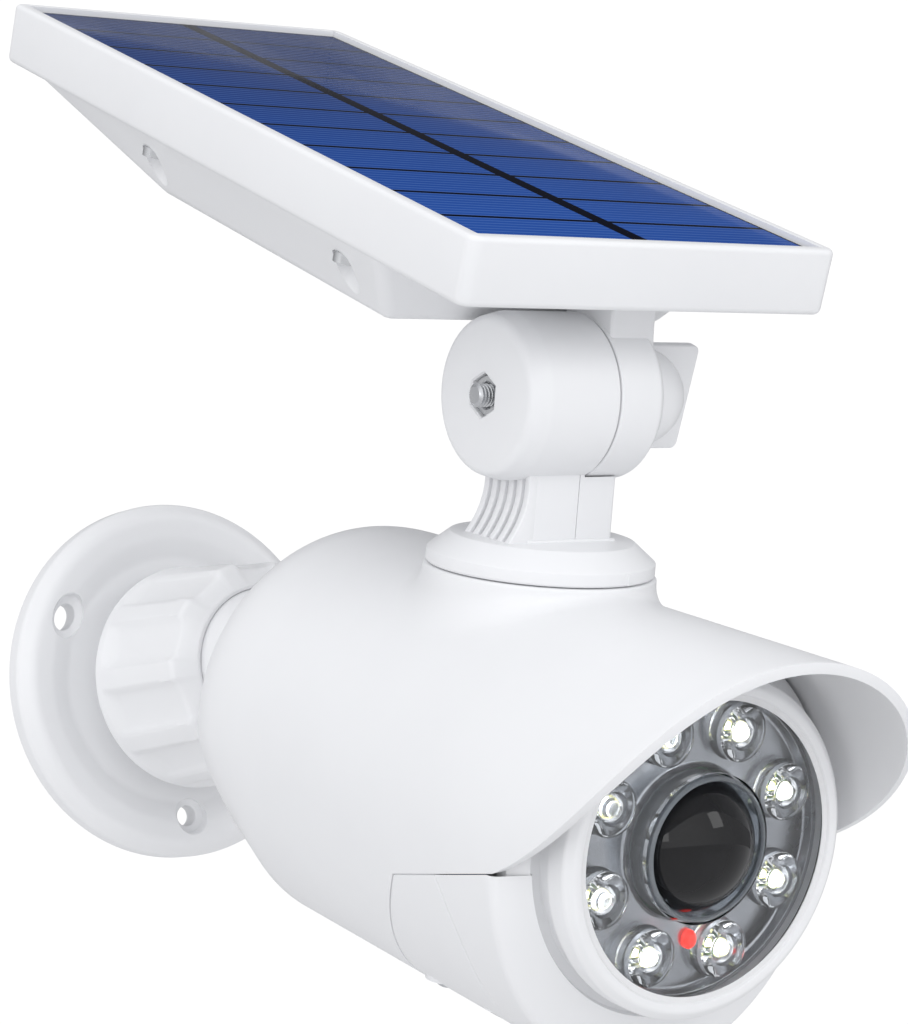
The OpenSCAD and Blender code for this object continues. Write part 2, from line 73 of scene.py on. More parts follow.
# The head frame has its origin at the ball's centre; the hinge frame has its origin on the panel's hinge axis
HEAD = Matrix.Translation((0.0, -BALL_OUT, 0.0)) @ Matrix.Rotation(HEAD_PITCH, 4, "X")
HINGE = HEAD @ Matrix.Translation((0.0, -SWIVEL_AHEAD, HINGE_UP))
PANEL = HINGE @ Matrix.Rotation(PANEL_TILT, 4, "X")
# Shapes that are turned about +Z are laid along -Y or along +X with these
AHEAD = Matrix.Rotation(math.pi / 2, 4, "X")
ACROSS = Matrix.Rotation(math.pi / 2, 4, "Y")

log = logging.getLogger("security_light")


class Body(Enum):
    """The moving bodies that pieces ride on."""

    MOUNT = "mount"
    RING = "ring"
    HEAD = "head"
    BUTTON = "button"
    SWIVEL = "swivel"
    WING = "wing"
    PANEL = "panel"


class Slot(Enum):
    """The material slots of the record."""

    WHITE = "white_plastic"
    CLEAR = "clear_plastic"
    SMOKED = "smoked_plastic"
    STEEL = "steel"
    REFLECTOR = "reflector_plastic"
    BOARD = "board"
    PHOSPHOR = "phosphor"
    INDICATOR = "indicator"
    RUBBER = "black_rubber"
    BLACK = "black_plastic"
    WRAP = "cell_wrap"
    SOLAR_GLASS = "solar_glass"
    SOLAR_CELL = "solar_cell"
    WIRE = "wire"


# ---- Mesh tools ------------------------------------------------------------


def soften(corners: Sequence[tuple[float, float, float]], steps: int = 5) -> list[tuple[float, float]]:
    """Round the corners of an outline.

    Args:
        corners: Each corner as first coordinate, second coordinate and fillet radius, in metres.
        steps: How many segments each fillet has.

    Returns:
        The outline's points in order.
    """
    points: list[tuple[float, float]] = []
    last = len(corners) - 1
    for k, (x, y, radius) in enumerate(corners):
        here = Vector((x, y))
        if k in (0, last) or radius <= 0:
            points.append((x, y))
            continue
        back = Vector(corners[k - 1][:2]) - here
        on = Vector(corners[k + 1][:2]) - here
        half = back.angle(on) / 2
        reach = min(radius / math.tan(half), back.length * 0.49, on.length * 0.49)
        start, end = here + back.normalized() * reach, here + on.normalized() * reach
        for i in range(steps + 1):
            t = i / steps
            p = start * (1 - t) ** 2 + here * (2 * t * (1 - t)) + end * t**2
            points.append((p.x, p.y))
    return points


def turned(outline: Sequence[tuple[float, float]], segments: int = 96, closed: bool = False) -> bmesh.types.BMesh:
    """Turn an outline about +Z.

    Args:
        outline: Points as radius and height, in metres.
        segments: How many steps the full turn has.
        closed: Whether the last point joins the first one, as on a ring.

    Returns:
        The turned shape, its faces outwards.
    """
    bm = bmesh.new()
    verts = [bm.verts.new((max(r, 0.0), 0.0, h)) for r, h in outline]
    pairs = list(zip(verts, verts[1:])) + ([(verts[-1], verts[0])] if closed else [])
    edges = [bm.edges.new(pair) for pair in pairs]
    bmesh.ops.spin(
        bm, geom=verts + edges, cent=(0, 0, 0), axis=(0, 0, 1), angle=2 * math.pi, steps=segments, use_merge=True
    )
    bmesh.ops.remove_doubles(bm, verts=bm.verts[:], dist=1e-6)
    bmesh.ops.dissolve_degenerate(bm, edges=bm.edges[:], dist=1e-7)
    bmesh.ops.recalc_face_normals(bm, faces=bm.faces[:])
    return bm


def sheet(columns: int, rows: int, place: Callable[[float, float], Vector]) -> bmesh.types.BMesh:
    """Shape a grid into a curved sheet.

    Args:
        columns: Cells across, the first share of place.
        rows: Cells along, the second share of place.
        place: Gives the point for two shares from 0 to 1.

    Returns:
        The sheet, its double points merged.
    """
    bm = bmesh.new()
    bmesh.ops.create_grid(bm, x_segments=columns, y_segments=rows, size=0.5)
    for vert in bm.verts:
        vert.co = place(vert.co.x + 0.5, vert.co.y + 0.5)
    bmesh.ops.remove_doubles(bm, verts=bm.verts[:], dist=2e-6)
    return bm


def face_away(bm: bmesh.types.BMesh, inside: Callable[[Vector], Vector]) -> None:
    """Turn an open sheet so that its faces look away from its inside.

    Args:
        bm: The sheet.
        inside: Gives, for a face's centre, a point on the sheet's hollow side.
    """
    bm.normal_update()
    outward = 0.0
    for face in bm.faces:
        middle = face.calc_center_median()
        outward += face.normal.dot(middle - inside(middle)) * face.calc_area()
    if outward < 0:
        bmesh.ops.reverse_faces(bm, faces=bm.faces[:])


def slab(low: Sequence[float], high: Sequence[float], edge: float = 0.0, segments: int = 3) -> bmesh.types.BMesh:
    """Make a block with rounded edges.

    Args:
        low: Its lowest corner, in metres.
        high: Its highest corner, in metres.
        edge: Radius of the rounding.
        segments: Segments of the rounding.

    Returns:
        The block.
    """
    bm = bmesh.new()
    bmesh.ops.create_cube(bm, size=1.0)
    size = Vector(high) - Vector(low)
    bmesh.ops.scale(bm, vec=size, verts=bm.verts[:])
    bmesh.ops.translate(bm, vec=(Vector(low) + Vector(high)) / 2, verts=bm.verts[:])
    if edge > 0:
        round_edges(bm, edge, segments)
    return bm


def round_edges(
    bm: bmesh.types.BMesh,
    radius: float,
    segments: int = 3,
    least: float = 0.6,
    pick: Callable[[bmesh.types.BMEdge], bool] | None = None,
) -> None:
    """Round the sharp edges of a shape.

    Args:
        bm: The shape.
        radius: Width of the rounding, in metres.
        segments: Segments of the rounding.
        least: Smallest angle between two faces that counts as sharp, in radians.
        pick: Keeps only the edges for which it is true.
    """
    bm.normal_update()
    sharp = [
        e for e in bm.edges if len(e.link_faces) == 2 and e.calc_face_angle(0.0) > least and (pick is None or pick(e))
    ]
    bmesh.ops.bevel(
        bm, geom=sharp, offset=radius, offset_type="OFFSET", segments=segments, profile=0.5, affect="EDGES",
        clamp_overlap=True, material=-1,
    )


def prism(outline: Sequence[tuple[float, float]], depth: float) -> bmesh.types.BMesh:
    """Extrude a flat outline.

    Args:
        outline: Points in X and Z, in metres.
        depth: Length along Y, centred on 0.

    Returns:
        The prism.
    """
    bm = bmesh.new()
    face = bm.faces.new([bm.verts.new((x, -depth / 2, z)) for x, z in outline])
    grown = bmesh.ops.extrude_face_region(bm, geom=[face])
    bmesh.ops.translate(
        bm, vec=(0, depth, 0), verts=[g for g in grown["geom"] if isinstance(g, bmesh.types.BMVert)]
    )
    bmesh.ops.recalc_face_normals(bm, faces=bm.faces[:])
    return bm


def moved(bm: bmesh.types.BMesh, place: Matrix) -> bmesh.types.BMesh:
    """Move a shape and hand it back."""
    bmesh.ops.transform(bm, matrix=place, verts=bm.verts[:])
    return bm


def together(parts: Sequence[bmesh.types.BMesh]) -> bmesh.types.BMesh:
    """Put several shapes into one.

    Args:
        parts: The shapes, which are used up.

    Returns:
        One shape with all their faces.
    """
    whole = bmesh.new()
    for part in parts:
        carrier = bpy.data.meshes.new("carrier")
        part.to_mesh(carrier)
        whole.from_mesh(carrier)
        bpy.data.meshes.remove(carrier)
        part.free()
    return whole


def cut(bm: bmesh.types.BMesh, cutters: Sequence[bmesh.types.BMesh]) -> bmesh.types.BMesh:
    """Cut shapes out of a closed shape.

    Args:
        bm: The closed shape, which is used up.
        cutters: Closed shapes that are taken away from it, and used up.

    Returns:
        The shape with the hollows.
    """
    carriers = []
    for k, part in enumerate([bm, *cutters]):
        mesh = bpy.data.meshes.new(f"carrier_{k}")
        part.to_mesh(mesh)
        part.free()
        carrier = bpy.data.objects.new(f"carrier_{k}", mesh)
        bpy.context.scene.collection.objects.link(carrier)
        carriers.append(carrier)
    for cutter in carriers[1:]:
        step = carriers[0].modifiers.new(cutter.name, "BOOLEAN")
        step.operation = "DIFFERENCE"
        step.solver = "EXACT"
        step.object = cutter
    whole = settled(carriers[0])
    for carrier in carriers[1:]:
        mesh = carrier.data
        bpy.data.objects.remove(carrier)
        bpy.data.meshes.remove(mesh)
    bmesh.ops.dissolve_degenerate(whole, edges=whole.edges[:], dist=1e-7)
    return whole


def settled(carrier: bpy.types.Object) -> bmesh.types.BMesh:
    """Take the shape of a temporary object with its modifiers, and remove the object.

    Args:
        carrier: The temporary object.

    Returns:
        Its finished shape.
    """
    bpy.context.view_layer.update()
    done = carrier.evaluated_get(bpy.context.evaluated_depsgraph_get())
    whole = bmesh.new()
    whole.from_mesh(done.to_mesh())
    done.to_mesh_clear()
    mesh = carrier.data
    bpy.data.objects.remove(carrier)
    bpy.data.meshes.remove(mesh)
    return whole


def walled(bm: bmesh.types.BMesh, wall: float, edge: float) -> bmesh.types.BMesh:
    """Give an open sheet its wall at once, so that it can be cut.

    Args:
        bm: The sheet, which is used up.
        wall: Thickness that grows inwards, in metres.
        edge: Radius of the rims' rounding.

    Returns:
        The closed shape.
    """
    mesh = bpy.data.meshes.new("carrier")
    bm.to_mesh(mesh)
    bm.free()
    carrier = bpy.data.objects.new("carrier", mesh)
    bpy.context.scene.collection.objects.link(carrier)
    thicken(carrier, wall, edge)
    return settled(carrier)


def fit_hexagon(bm: bmesh.types.BMesh, near: float, corner: float, low: float, high: float) -> None:
    """Pull a turned shape's points of one radius onto a hexagon about +Z.

    Args:
        bm: The turned shape.
        near: Radius of the points that move.
        corner: Distance from the axis to the hexagon's corners.
        low: Lowest height of the points that move.
        high: Highest height of the points that move.
    """
    for vert in bm.verts:
        radius = math.hypot(vert.co.x, vert.co.y)
        if abs(radius - near) < 0.02 * MM and low <= vert.co.z <= high:
            turn = math.atan2(vert.co.y, vert.co.x) % (math.pi / 3) - math.pi / 6
            reach = corner * math.cos(math.pi / 6) / math.cos(turn)
            vert.co.x *= reach / radius
            vert.co.y *= reach / radius


def add_piece(
    name: str,
    bm: bmesh.types.BMesh,
    body: Body,
    slot: Slot,
    finish: bpy.types.Material,
    place: Matrix = HEAD,
    stands_for: Sequence[str] = (),
    crease: float = 35.0,
) -> bpy.types.Object:
    """Turn a shape into a finished piece that rides on a body.

    Args:
        name: The piece's name.
        bm: Its shape, which is used up.
        body: The body it rides on.
        slot: The material slot of its finish; not used.
        finish: Its material.
        place: Puts the shape's own frame into the model's frame.
        stands_for: CAD nodes that the piece replaces.
        crease: Angle in degrees past which an edge looks sharp.

    Returns:
        The piece's object.
    """
    moved(bm, place)
    mesh = bpy.data.meshes.new(name)
    bm.to_mesh(mesh)
    bm.free()
    mesh.shade_smooth()
    mesh.set_sharp_from_angle(angle=math.radians(crease))
    piece = bpy.data.objects.new(name, mesh)
    bpy.context.scene.collection.objects.link(piece)
    mesh.materials.append(finish)
    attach(piece, body.value)
    if stands_for:
        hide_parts(*stands_for)
    log.info("%s: %d faces on %s", name, len(mesh.polygons), body.value)
    return piece


def thicken(piece: bpy.types.Object, wall: float, edge: float) -> None:
    """Give an open sheet its wall and rounded rims.

    Args:
        piece: The sheet, its faces outwards.
        wall: Thickness that grows inwards, in metres.
        edge: Radius of the rims' rounding.
    """
    shell = piece.modifiers.new("wall", "SOLIDIFY")
    shell.thickness = wall
    shell.offset = -1.0
    shell.use_even_offset = False
    rim = piece.modifiers.new("rim", "BEVEL")
    rim.width = edge
    rim.segments = 3
    rim.limit_method = "ANGLE"
    rim.angle_limit = math.radians(50.0)
    rim.use_clamp_overlap = True
    rim.harden_normals = False


# ---- Finishes --------------------------------------------------------------


@dataclass(frozen=True)
class Effects:
    """Shader node groups that several finishes share, built once."""

    grain: bpy.types.ShaderNodeTree
    wear_and_shade: bpy.types.ShaderNodeTree
    smears: bpy.types.ShaderNodeTree


def new_group(name: str, inputs: Sequence[tuple[str, float]], outputs: Sequence[str]) -> bpy.types.ShaderNodeTree:
    """Start a shader node group with value sockets.

    Args:
        name: The group's name.
        inputs: Each input's name and default value.
        outputs: The outputs' names.

    Returns:
        The group, with its input and output nodes named "in" and "out".
    """
    group = bpy.data.node_groups.new(name, "ShaderNodeTree")
    for label, value in inputs:
        group.interface.new_socket(name=label, in_out="INPUT", socket_type="NodeSocketFloat").default_value = value
    for label in outputs:
        group.interface.new_socket(name=label, in_out="OUTPUT", socket_type="NodeSocketFloat")
    group.nodes.new("NodeGroupInput").name = "in"
    group.nodes.new("NodeGroupOutput").name = "out"
    return group


def math_node(
    tree: bpy.types.NodeTree, operation: str, first: object, second: object = 0.5, clamp: bool = False
) -> bpy.types.NodeSocket:
    """Add a math node.

    Args:
        tree: The node tree.
        operation: The math operation.
        first: A socket or a number.
        second: A socket or a number.
        clamp: Whether the result stays from 0 to 1.

    Returns:
        The node's output.
    """
    node = tree.nodes.new("ShaderNodeMath")
    node.operation = operation
    node.use_clamp = clamp
    for socket, value in zip(node.inputs, (first, second)):
        if isinstance(value, bpy.types.NodeSocket):
            tree.links.new(value, socket)
        else:
            socket.default_value = value
    return node.outputs[0]


def noise_node(
    tree: bpy.types.NodeTree, vector: bpy.types.NodeSocket, scale: object, detail: float, rough: float = 0.5
) -> bpy.types.NodeSocket:
    """Add a noise texture.

    Args:
        tree: The node tree.
        vector: The coordinates.
        scale: A socket or a number.
        detail: Octaves of detail.
        rough: Share of each finer octave.

    Returns:
        The noise from 0 to 1.
    """
    node = tree.nodes.new("ShaderNodeTexNoise")
    node.inputs["Detail"].default_value = detail
    node.inputs["Roughness"].default_value = rough
    if isinstance(scale, bpy.types.NodeSocket):
        tree.links.new(scale, node.inputs["Scale"])
    else:
        node.inputs["Scale"].default_value = scale
    tree.links.new(vector, node.inputs["Vector"])
    return node.outputs["Fac"]


def spread(
    tree: bpy.types.NodeTree, value: bpy.types.NodeSocket, low: float, high: float, to_low: object, to_high: object
) -> bpy.types.NodeSocket:
    """Map a value from one range to another, clamped.

    Args:
        tree: The node tree.
        value: The value.
        low: Where the source range starts.
        high: Where it ends.
        to_low: A socket or number for its start.
        to_high: A socket or number for its end.

    Returns:
        The mapped value.
    """
    node = tree.nodes.new("ShaderNodeMapRange")
    tree.links.new(value, node.inputs["Value"])
    node.inputs["From Min"].default_value = low
    node.inputs["From Max"].default_value = high
    for label, end in (("To Min", to_low), ("To Max", to_high)):
        if isinstance(end, bpy.types.NodeSocket):
            tree.links.new(end, node.inputs[label])
        else:
            node.inputs[label].default_value = end
    return node.outputs["Result"]


def blend_colours(
    tree: bpy.types.NodeTree, factor: bpy.types.NodeSocket, first: object, second: object
) -> bpy.types.NodeSocket:
    """Mix two colours.

    Args:
        tree: The node tree.
        factor: Share of the second colour.
        first: A colour or a socket.
        second: A colour or a socket.

    Returns:
        The mixed colour.
    """
    node = tree.nodes.new("ShaderNodeMix")
    node.data_type = "RGBA"
    tree.links.new(factor, node.inputs[0])
    for socket, value in ((node.inputs[6], first), (node.inputs[7], second)):
        if isinstance(value, bpy.types.NodeSocket):
            tree.links.new(value, socket)
        else:
            socket.default_value = (*value, 1.0)
    return node.outputs[2]


def build_grain() -> bpy.types.ShaderNodeTree:
    """Build the fine moulded or cast texture: a height, and a slow cloudy tone.

    Returns:
        The node group.
    """
    group = new_group("moulded_grain", [("Fineness", 2600.0), ("Cloud", 22.0)], ["Height", "Tone"])
    coords = group.nodes.new("ShaderNodeTexCoord").outputs["Object"]
    fine = noise_node(group, coords, group.nodes["in"].outputs["Fineness"], 3.0, 0.6)
    slow = noise_node(group, coords, group.nodes["in"].outputs["Cloud"], 4.0, 0.55)
    group.links.new(fine, group.nodes["out"].inputs["Height"])
    group.links.new(spread(group, slow, 0.3, 0.7, 0.0, 1.0), group.nodes["out"].inputs["Tone"])
    return group


def build_wear_and_shade() -> bpy.types.ShaderNodeTree:
    """Build the masks: rubbed convex edges, concave hollows for soiling and painted crease shade, and dust on upward
    faces.

    Returns:
        The node group.
    """
    group = new_group("edges_dust_and_crease_shade", [("Patch", 260.0)], ["Rubbed", "GrimeAndShade", "Dust"])
    shape = group.nodes.new("ShaderNodeNewGeometry")
    coords = group.nodes.new("ShaderNodeTexCoord").outputs["Object"]
    patch = noise_node(group, coords, group.nodes["in"].outputs["Patch"], 5.0, 0.62)
    convex = spread(group, shape.outputs["Pointiness"], 0.52, 0.6, 0.0, 1.0)
    # Concave hollows: this mask paints crease shade on light finishes and soiling on dark ones
    concave = spread(group, shape.outputs["Pointiness"], 0.49, 0.42, 0.0, 1.0)
    group.links.new(math_node(group, "MULTIPLY", convex, patch), group.nodes["out"].inputs["Rubbed"])
    group.links.new(math_node(group, "MULTIPLY", concave, patch), group.nodes["out"].inputs["GrimeAndShade"])
    split = group.nodes.new("ShaderNodeSeparateXYZ")
    group.links.new(shape.outputs["Normal"], split.inputs[0])
    upward = spread(group, split.outputs["Z"], 0.2, 1.0, 0.0, 1.0)
    group.links.new(math_node(group, "MULTIPLY", upward, patch), group.nodes["out"].inputs["Dust"])
    return group


def build_smears() -> bpy.types.ShaderNodeTree:
    """Build faint wipe marks for glossy faces: stretched noise that changes the roughness.

    Returns:
        The node group.
    """
    group = new_group("wipe_marks", [("Scale", 60.0)], ["Marks"])
    coords = group.nodes.new("ShaderNodeTexCoord").outputs["Object"]
    stretch = group.nodes.new("ShaderNodeMapping")
    stretch.inputs["Scale"].default_value = (1.0, 0.18, 0.6)
    stretch.inputs["Rotation"].default_value = (0.4, 0.3, 0.7)
    group.links.new(coords, stretch.inputs["Vector"])
    marks = noise_node(group, stretch.outputs["Vector"], group.nodes["in"].outputs["Scale"], 6.0, 0.65)
    group.links.new(spread(group, marks, 0.42, 0.72, 0.0, 1.0), group.nodes["out"].inputs["Marks"])
    return group


def place_group(
    tree: bpy.types.NodeTree, group: bpy.types.ShaderNodeTree, values: dict[str, float]
) -> bpy.types.ShaderNodeGroup:
    """Place a node group in a material with its own values.

    Args:
        tree: The material's node tree.
        group: The group.
        values: Input values by name.

    Returns:
        The group node.
    """
    node = tree.nodes.new("ShaderNodeGroup")
    node.node_tree = group
    for label, value in values.items():
        node.inputs[label].default_value = value
    return node


@dataclass(frozen=True)
class Finish:
    """One material: a Principled shader whose colour, roughness and bump vary over the surface."""

    name: str
    colour: tuple[float, float, float]
    shade: tuple[float, float, float]
    roughness: tuple[float, float] = (0.35, 0.45)
    bump: float = 0.1
    bump_depth: float = 0.00004
    fineness: float = 2600.0
    cloud: float = 22.0
    # Colour and share mixed into concave hollows: painted crease shade on light finishes, soiling on dark ones
    grime_and_shade: tuple[float, float, float] = (0.45, 0.44, 0.42)
    grime_and_shade_share: float = 0.25
    settings: dict[str, float] = field(default_factory=dict)

    def start(self) -> tuple[bpy.types.Material, bpy.types.NodeTree, bpy.types.Node]:
        """Make the material with its shader.

        Returns:
            The material, its node tree and the Principled node.
        """
        material = bpy.data.materials.new(self.name)
        material.use_nodes = True
        tree = material.node_tree
        shader = tree.nodes["Principled BSDF"]
        for label, value in self.settings.items():
            shader.inputs[label].default_value = value
        return material, tree, shader

    def build(self, effects: Effects) -> bpy.types.Material:
        """Build the material.

        Args:
            effects: The shared node groups.

        Returns:
            The material.
        """
        material, tree, shader = self.start()
        grain = place_group(tree, effects.grain, {"Fineness": self.fineness, "Cloud": self.cloud})
        wear_and_shade = place_group(tree, effects.wear_and_shade, {"Patch": self.cloud * 10})
        base = blend_colours(tree, grain.outputs["Tone"], self.colour, self.shade)
        # Hollows mixed towards that colour: painted crease shade where it is darker, soiling where it is lighter
        soil_and_shade_mix = math_node(tree, "MULTIPLY", wear_and_shade.outputs["GrimeAndShade"], self.grime_and_shade_share, clamp=True)
        tree.links.new(blend_colours(tree, soil_and_shade_mix, base, self.grime_and_shade), shader.inputs["Base Color"])
        dusty = math_node(tree, "MULTIPLY", wear_and_shade.outputs["Dust"], 0.06)
        rough = spread(tree, grain.outputs["Tone"], 0.0, 1.0, self.roughness[0], self.roughness[1])
        tree.links.new(math_node(tree, "ADD", rough, dusty, clamp=True), shader.inputs["Roughness"])
        bump = tree.nodes.new("ShaderNodeBump")
        bump.inputs["Strength"].default_value = self.bump
        bump.inputs["Distance"].default_value = self.bump_depth
        tree.links.new(grain.outputs["Height"], bump.inputs["Height"])
        tree.links.new(bump.outputs["Normal"], shader.inputs["Normal"])
        return material


@dataclass(frozen=True)
class GlossFinish(Finish):
    """A smooth glossy or clear finish with faint wipe marks in its roughness."""

    def build(self, effects: Effects) -> bpy.types.Material:
        """Build the material.

        Args:
            effects: The shared node groups.

        Returns:
            The material.
        """
        material, tree, shader = self.start()
        marks = place_group(tree, effects.smears, {"Scale": self.cloud * 3})
        tree.links.new(
            spread(tree, marks.outputs["Marks"], 0.0, 1.0, self.roughness[0], self.roughness[1]),
            shader.inputs["Roughness"],
        )
        tree.links.new(
            blend_colours(tree, marks.outputs["Marks"], self.colour, self.shade), shader.inputs["Base Color"]
        )
        return material


@dataclass(frozen=True)
class GlowFinish(Finish):
    """A finish that gives out light, its glow colour varying with a cloudy tone."""

    glow: tuple[float, float, float] = (1.0, 1.0, 1.0)
    strength: float = 6.0

    def build(self, effects: Effects) -> bpy.types.Material:
        """Build the material.

        Args:
            effects: The shared node groups.

        Returns:
            The material.
        """
        material, tree, shader = self.start()
        grain = place_group(tree, effects.grain, {"Fineness": self.fineness, "Cloud": self.cloud})
        base = blend_colours(tree, grain.outputs["Tone"], self.colour, self.shade)
        tree.links.new(base, shader.inputs["Base Color"])
        tree.links.new(
            blend_colours(tree, grain.outputs["Tone"], self.glow, self.colour), shader.inputs["Emission Color"]
        )
        shader.inputs["Emission Strength"].default_value = self.strength
        tree.links.new(
            spread(tree, grain.outputs["Height"], 0.0, 1.0, self.roughness[0], self.roughness[1]),
            shader.inputs["Roughness"],
        )
        return material


@dataclass(frozen=True)
class BoardFinish(Finish):
    """Solder mask over copper tracks."""

    def build(self, effects: Effects) -> bpy.types.Material:
        """Build the material.

        Args:
            effects: The shared node groups; not used.

        Returns:
            The material.
        """
        material, tree, shader = self.start()
        coords = tree.nodes.new("ShaderNodeTexCoord").outputs["Object"]
        cells = tree.nodes.new("ShaderNodeTexVoronoi")
        cells.feature = "DISTANCE_TO_EDGE"
        cells.inputs["Scale"].default_value = 260.0
        tree.links.new(coords, cells.inputs["Vector"])
        tracks = spread(tree, cells.outputs["Distance"], 0.03, 0.06, 1.0, 0.0)
        tree.links.new(blend_colours(tree, tracks, self.colour, self.shade), shader.inputs["Base Color"])
        tree.links.new(
            spread(tree, tracks, 0.0, 1.0, self.roughness[1], self.roughness[0]), shader.inputs["Roughness"]
        )
        bump = tree.nodes.new("ShaderNodeBump")
        bump.inputs["Strength"].default_value = self.bump
        bump.inputs["Distance"].default_value = self.bump_depth
        tree.links.new(tracks, bump.inputs["Height"])
        tree.links.new(bump.outputs["Normal"], shader.inputs["Normal"])
        return material


@dataclass(frozen=True)
class SolarFinish(Finish):
    """Laminated cells: strips in two columns with finger lines and painted shade darker towards the far end, read
    from the laminate's own UV map.
    """

    strips: int = 11
    fingers: int = 9
    gap: float = 0.028
    stripe: float = 0.0235
    # far: colour of the painted shade at the panel's far end
    far: tuple[float, float, float] = (0.006, 0.016, 0.075)
    dark: tuple[float, float, float] = (0.003, 0.004, 0.010)
    line: tuple[float, float, float] = (0.10, 0.19, 0.46)

    def build(self, effects: Effects) -> bpy.types.Material:
        """Build the material.

        Args:
            effects: The shared node groups.

        Returns:
            The material.
        """
        material, tree, shader = self.start()
        uv = tree.nodes.new("ShaderNodeUVMap")
        uv.uv_map = "cells"
        split = tree.nodes.new("ShaderNodeSeparateXYZ")
        tree.links.new(uv.outputs["UV"], split.inputs[0])
        across, along = split.outputs["X"], split.outputs["Y"]
        strip = math_node(tree, "MULTIPLY", along, float(self.strips))
        inside = math_node(tree, "FRACT", strip)
        edge = math_node(tree, "ABSOLUTE", math_node(tree, "SUBTRACT", inside, 0.5))
        joint = spread(tree, edge, 0.5 - self.gap * 1.7, 0.5 - self.gap * 1.2, 0.0, 1.0)
        middle = math_node(tree, "ABSOLUTE", math_node(tree, "SUBTRACT", across, 0.5))
        stripe = spread(tree, middle, self.stripe - 0.002, self.stripe, 1.0, 0.0)
        border = spread(tree, middle, 0.488, 0.491, 0.0, 1.0)
        ends = spread(
            tree, math_node(tree, "ABSOLUTE", math_node(tree, "SUBTRACT", along, 0.5)), 0.4945, 0.4955, 0.0, 1.0
        )
        black = math_node(
            tree, "MAXIMUM", math_node(tree, "MAXIMUM", joint, stripe), math_node(tree, "MAXIMUM", border, ends)
        )
        finger = math_node(tree, "FRACT", math_node(tree, "MULTIPLY", inside, float(self.fingers)))
        ridge = math_node(tree, "ABSOLUTE", math_node(tree, "SUBTRACT", finger, 0.5))
        fingers = spread(tree, ridge, 0.02, 0.16, 0.55, 0.0)
        grain = place_group(tree, effects.grain, {"Fineness": 900.0, "Cloud": self.cloud})
        # Painted shade: the cells darken towards the panel's far end
        tone = spread(tree, along, 0.1, 0.98, 0.0, 1.0)
        cell = blend_colours(tree, tone, self.colour, self.far)
        cell = blend_colours(tree, math_node(tree, "MULTIPLY", grain.outputs["Tone"], 0.35), cell, self.shade)
        cell = blend_colours(tree, fingers, cell, self.line)
        tree.links.new(blend_colours(tree, black, cell, self.dark), shader.inputs["Base Color"])
        marks = place_group(tree, effects.smears, {"Scale": 40.0})
        tree.links.new(
            spread(tree, marks.outputs["Marks"], 0.0, 1.0, self.roughness[0], self.roughness[1]),
            shader.inputs["Roughness"],
        )
        bump = tree.nodes.new("ShaderNodeBump")
        bump.inputs["Strength"].default_value = self.bump
        bump.inputs["Distance"].default_value = self.bump_depth
        tree.links.new(math_node(tree, "SUBTRACT", fingers, black), bump.inputs["Height"])
        tree.links.new(bump.outputs["Normal"], shader.inputs["Normal"])
        return material


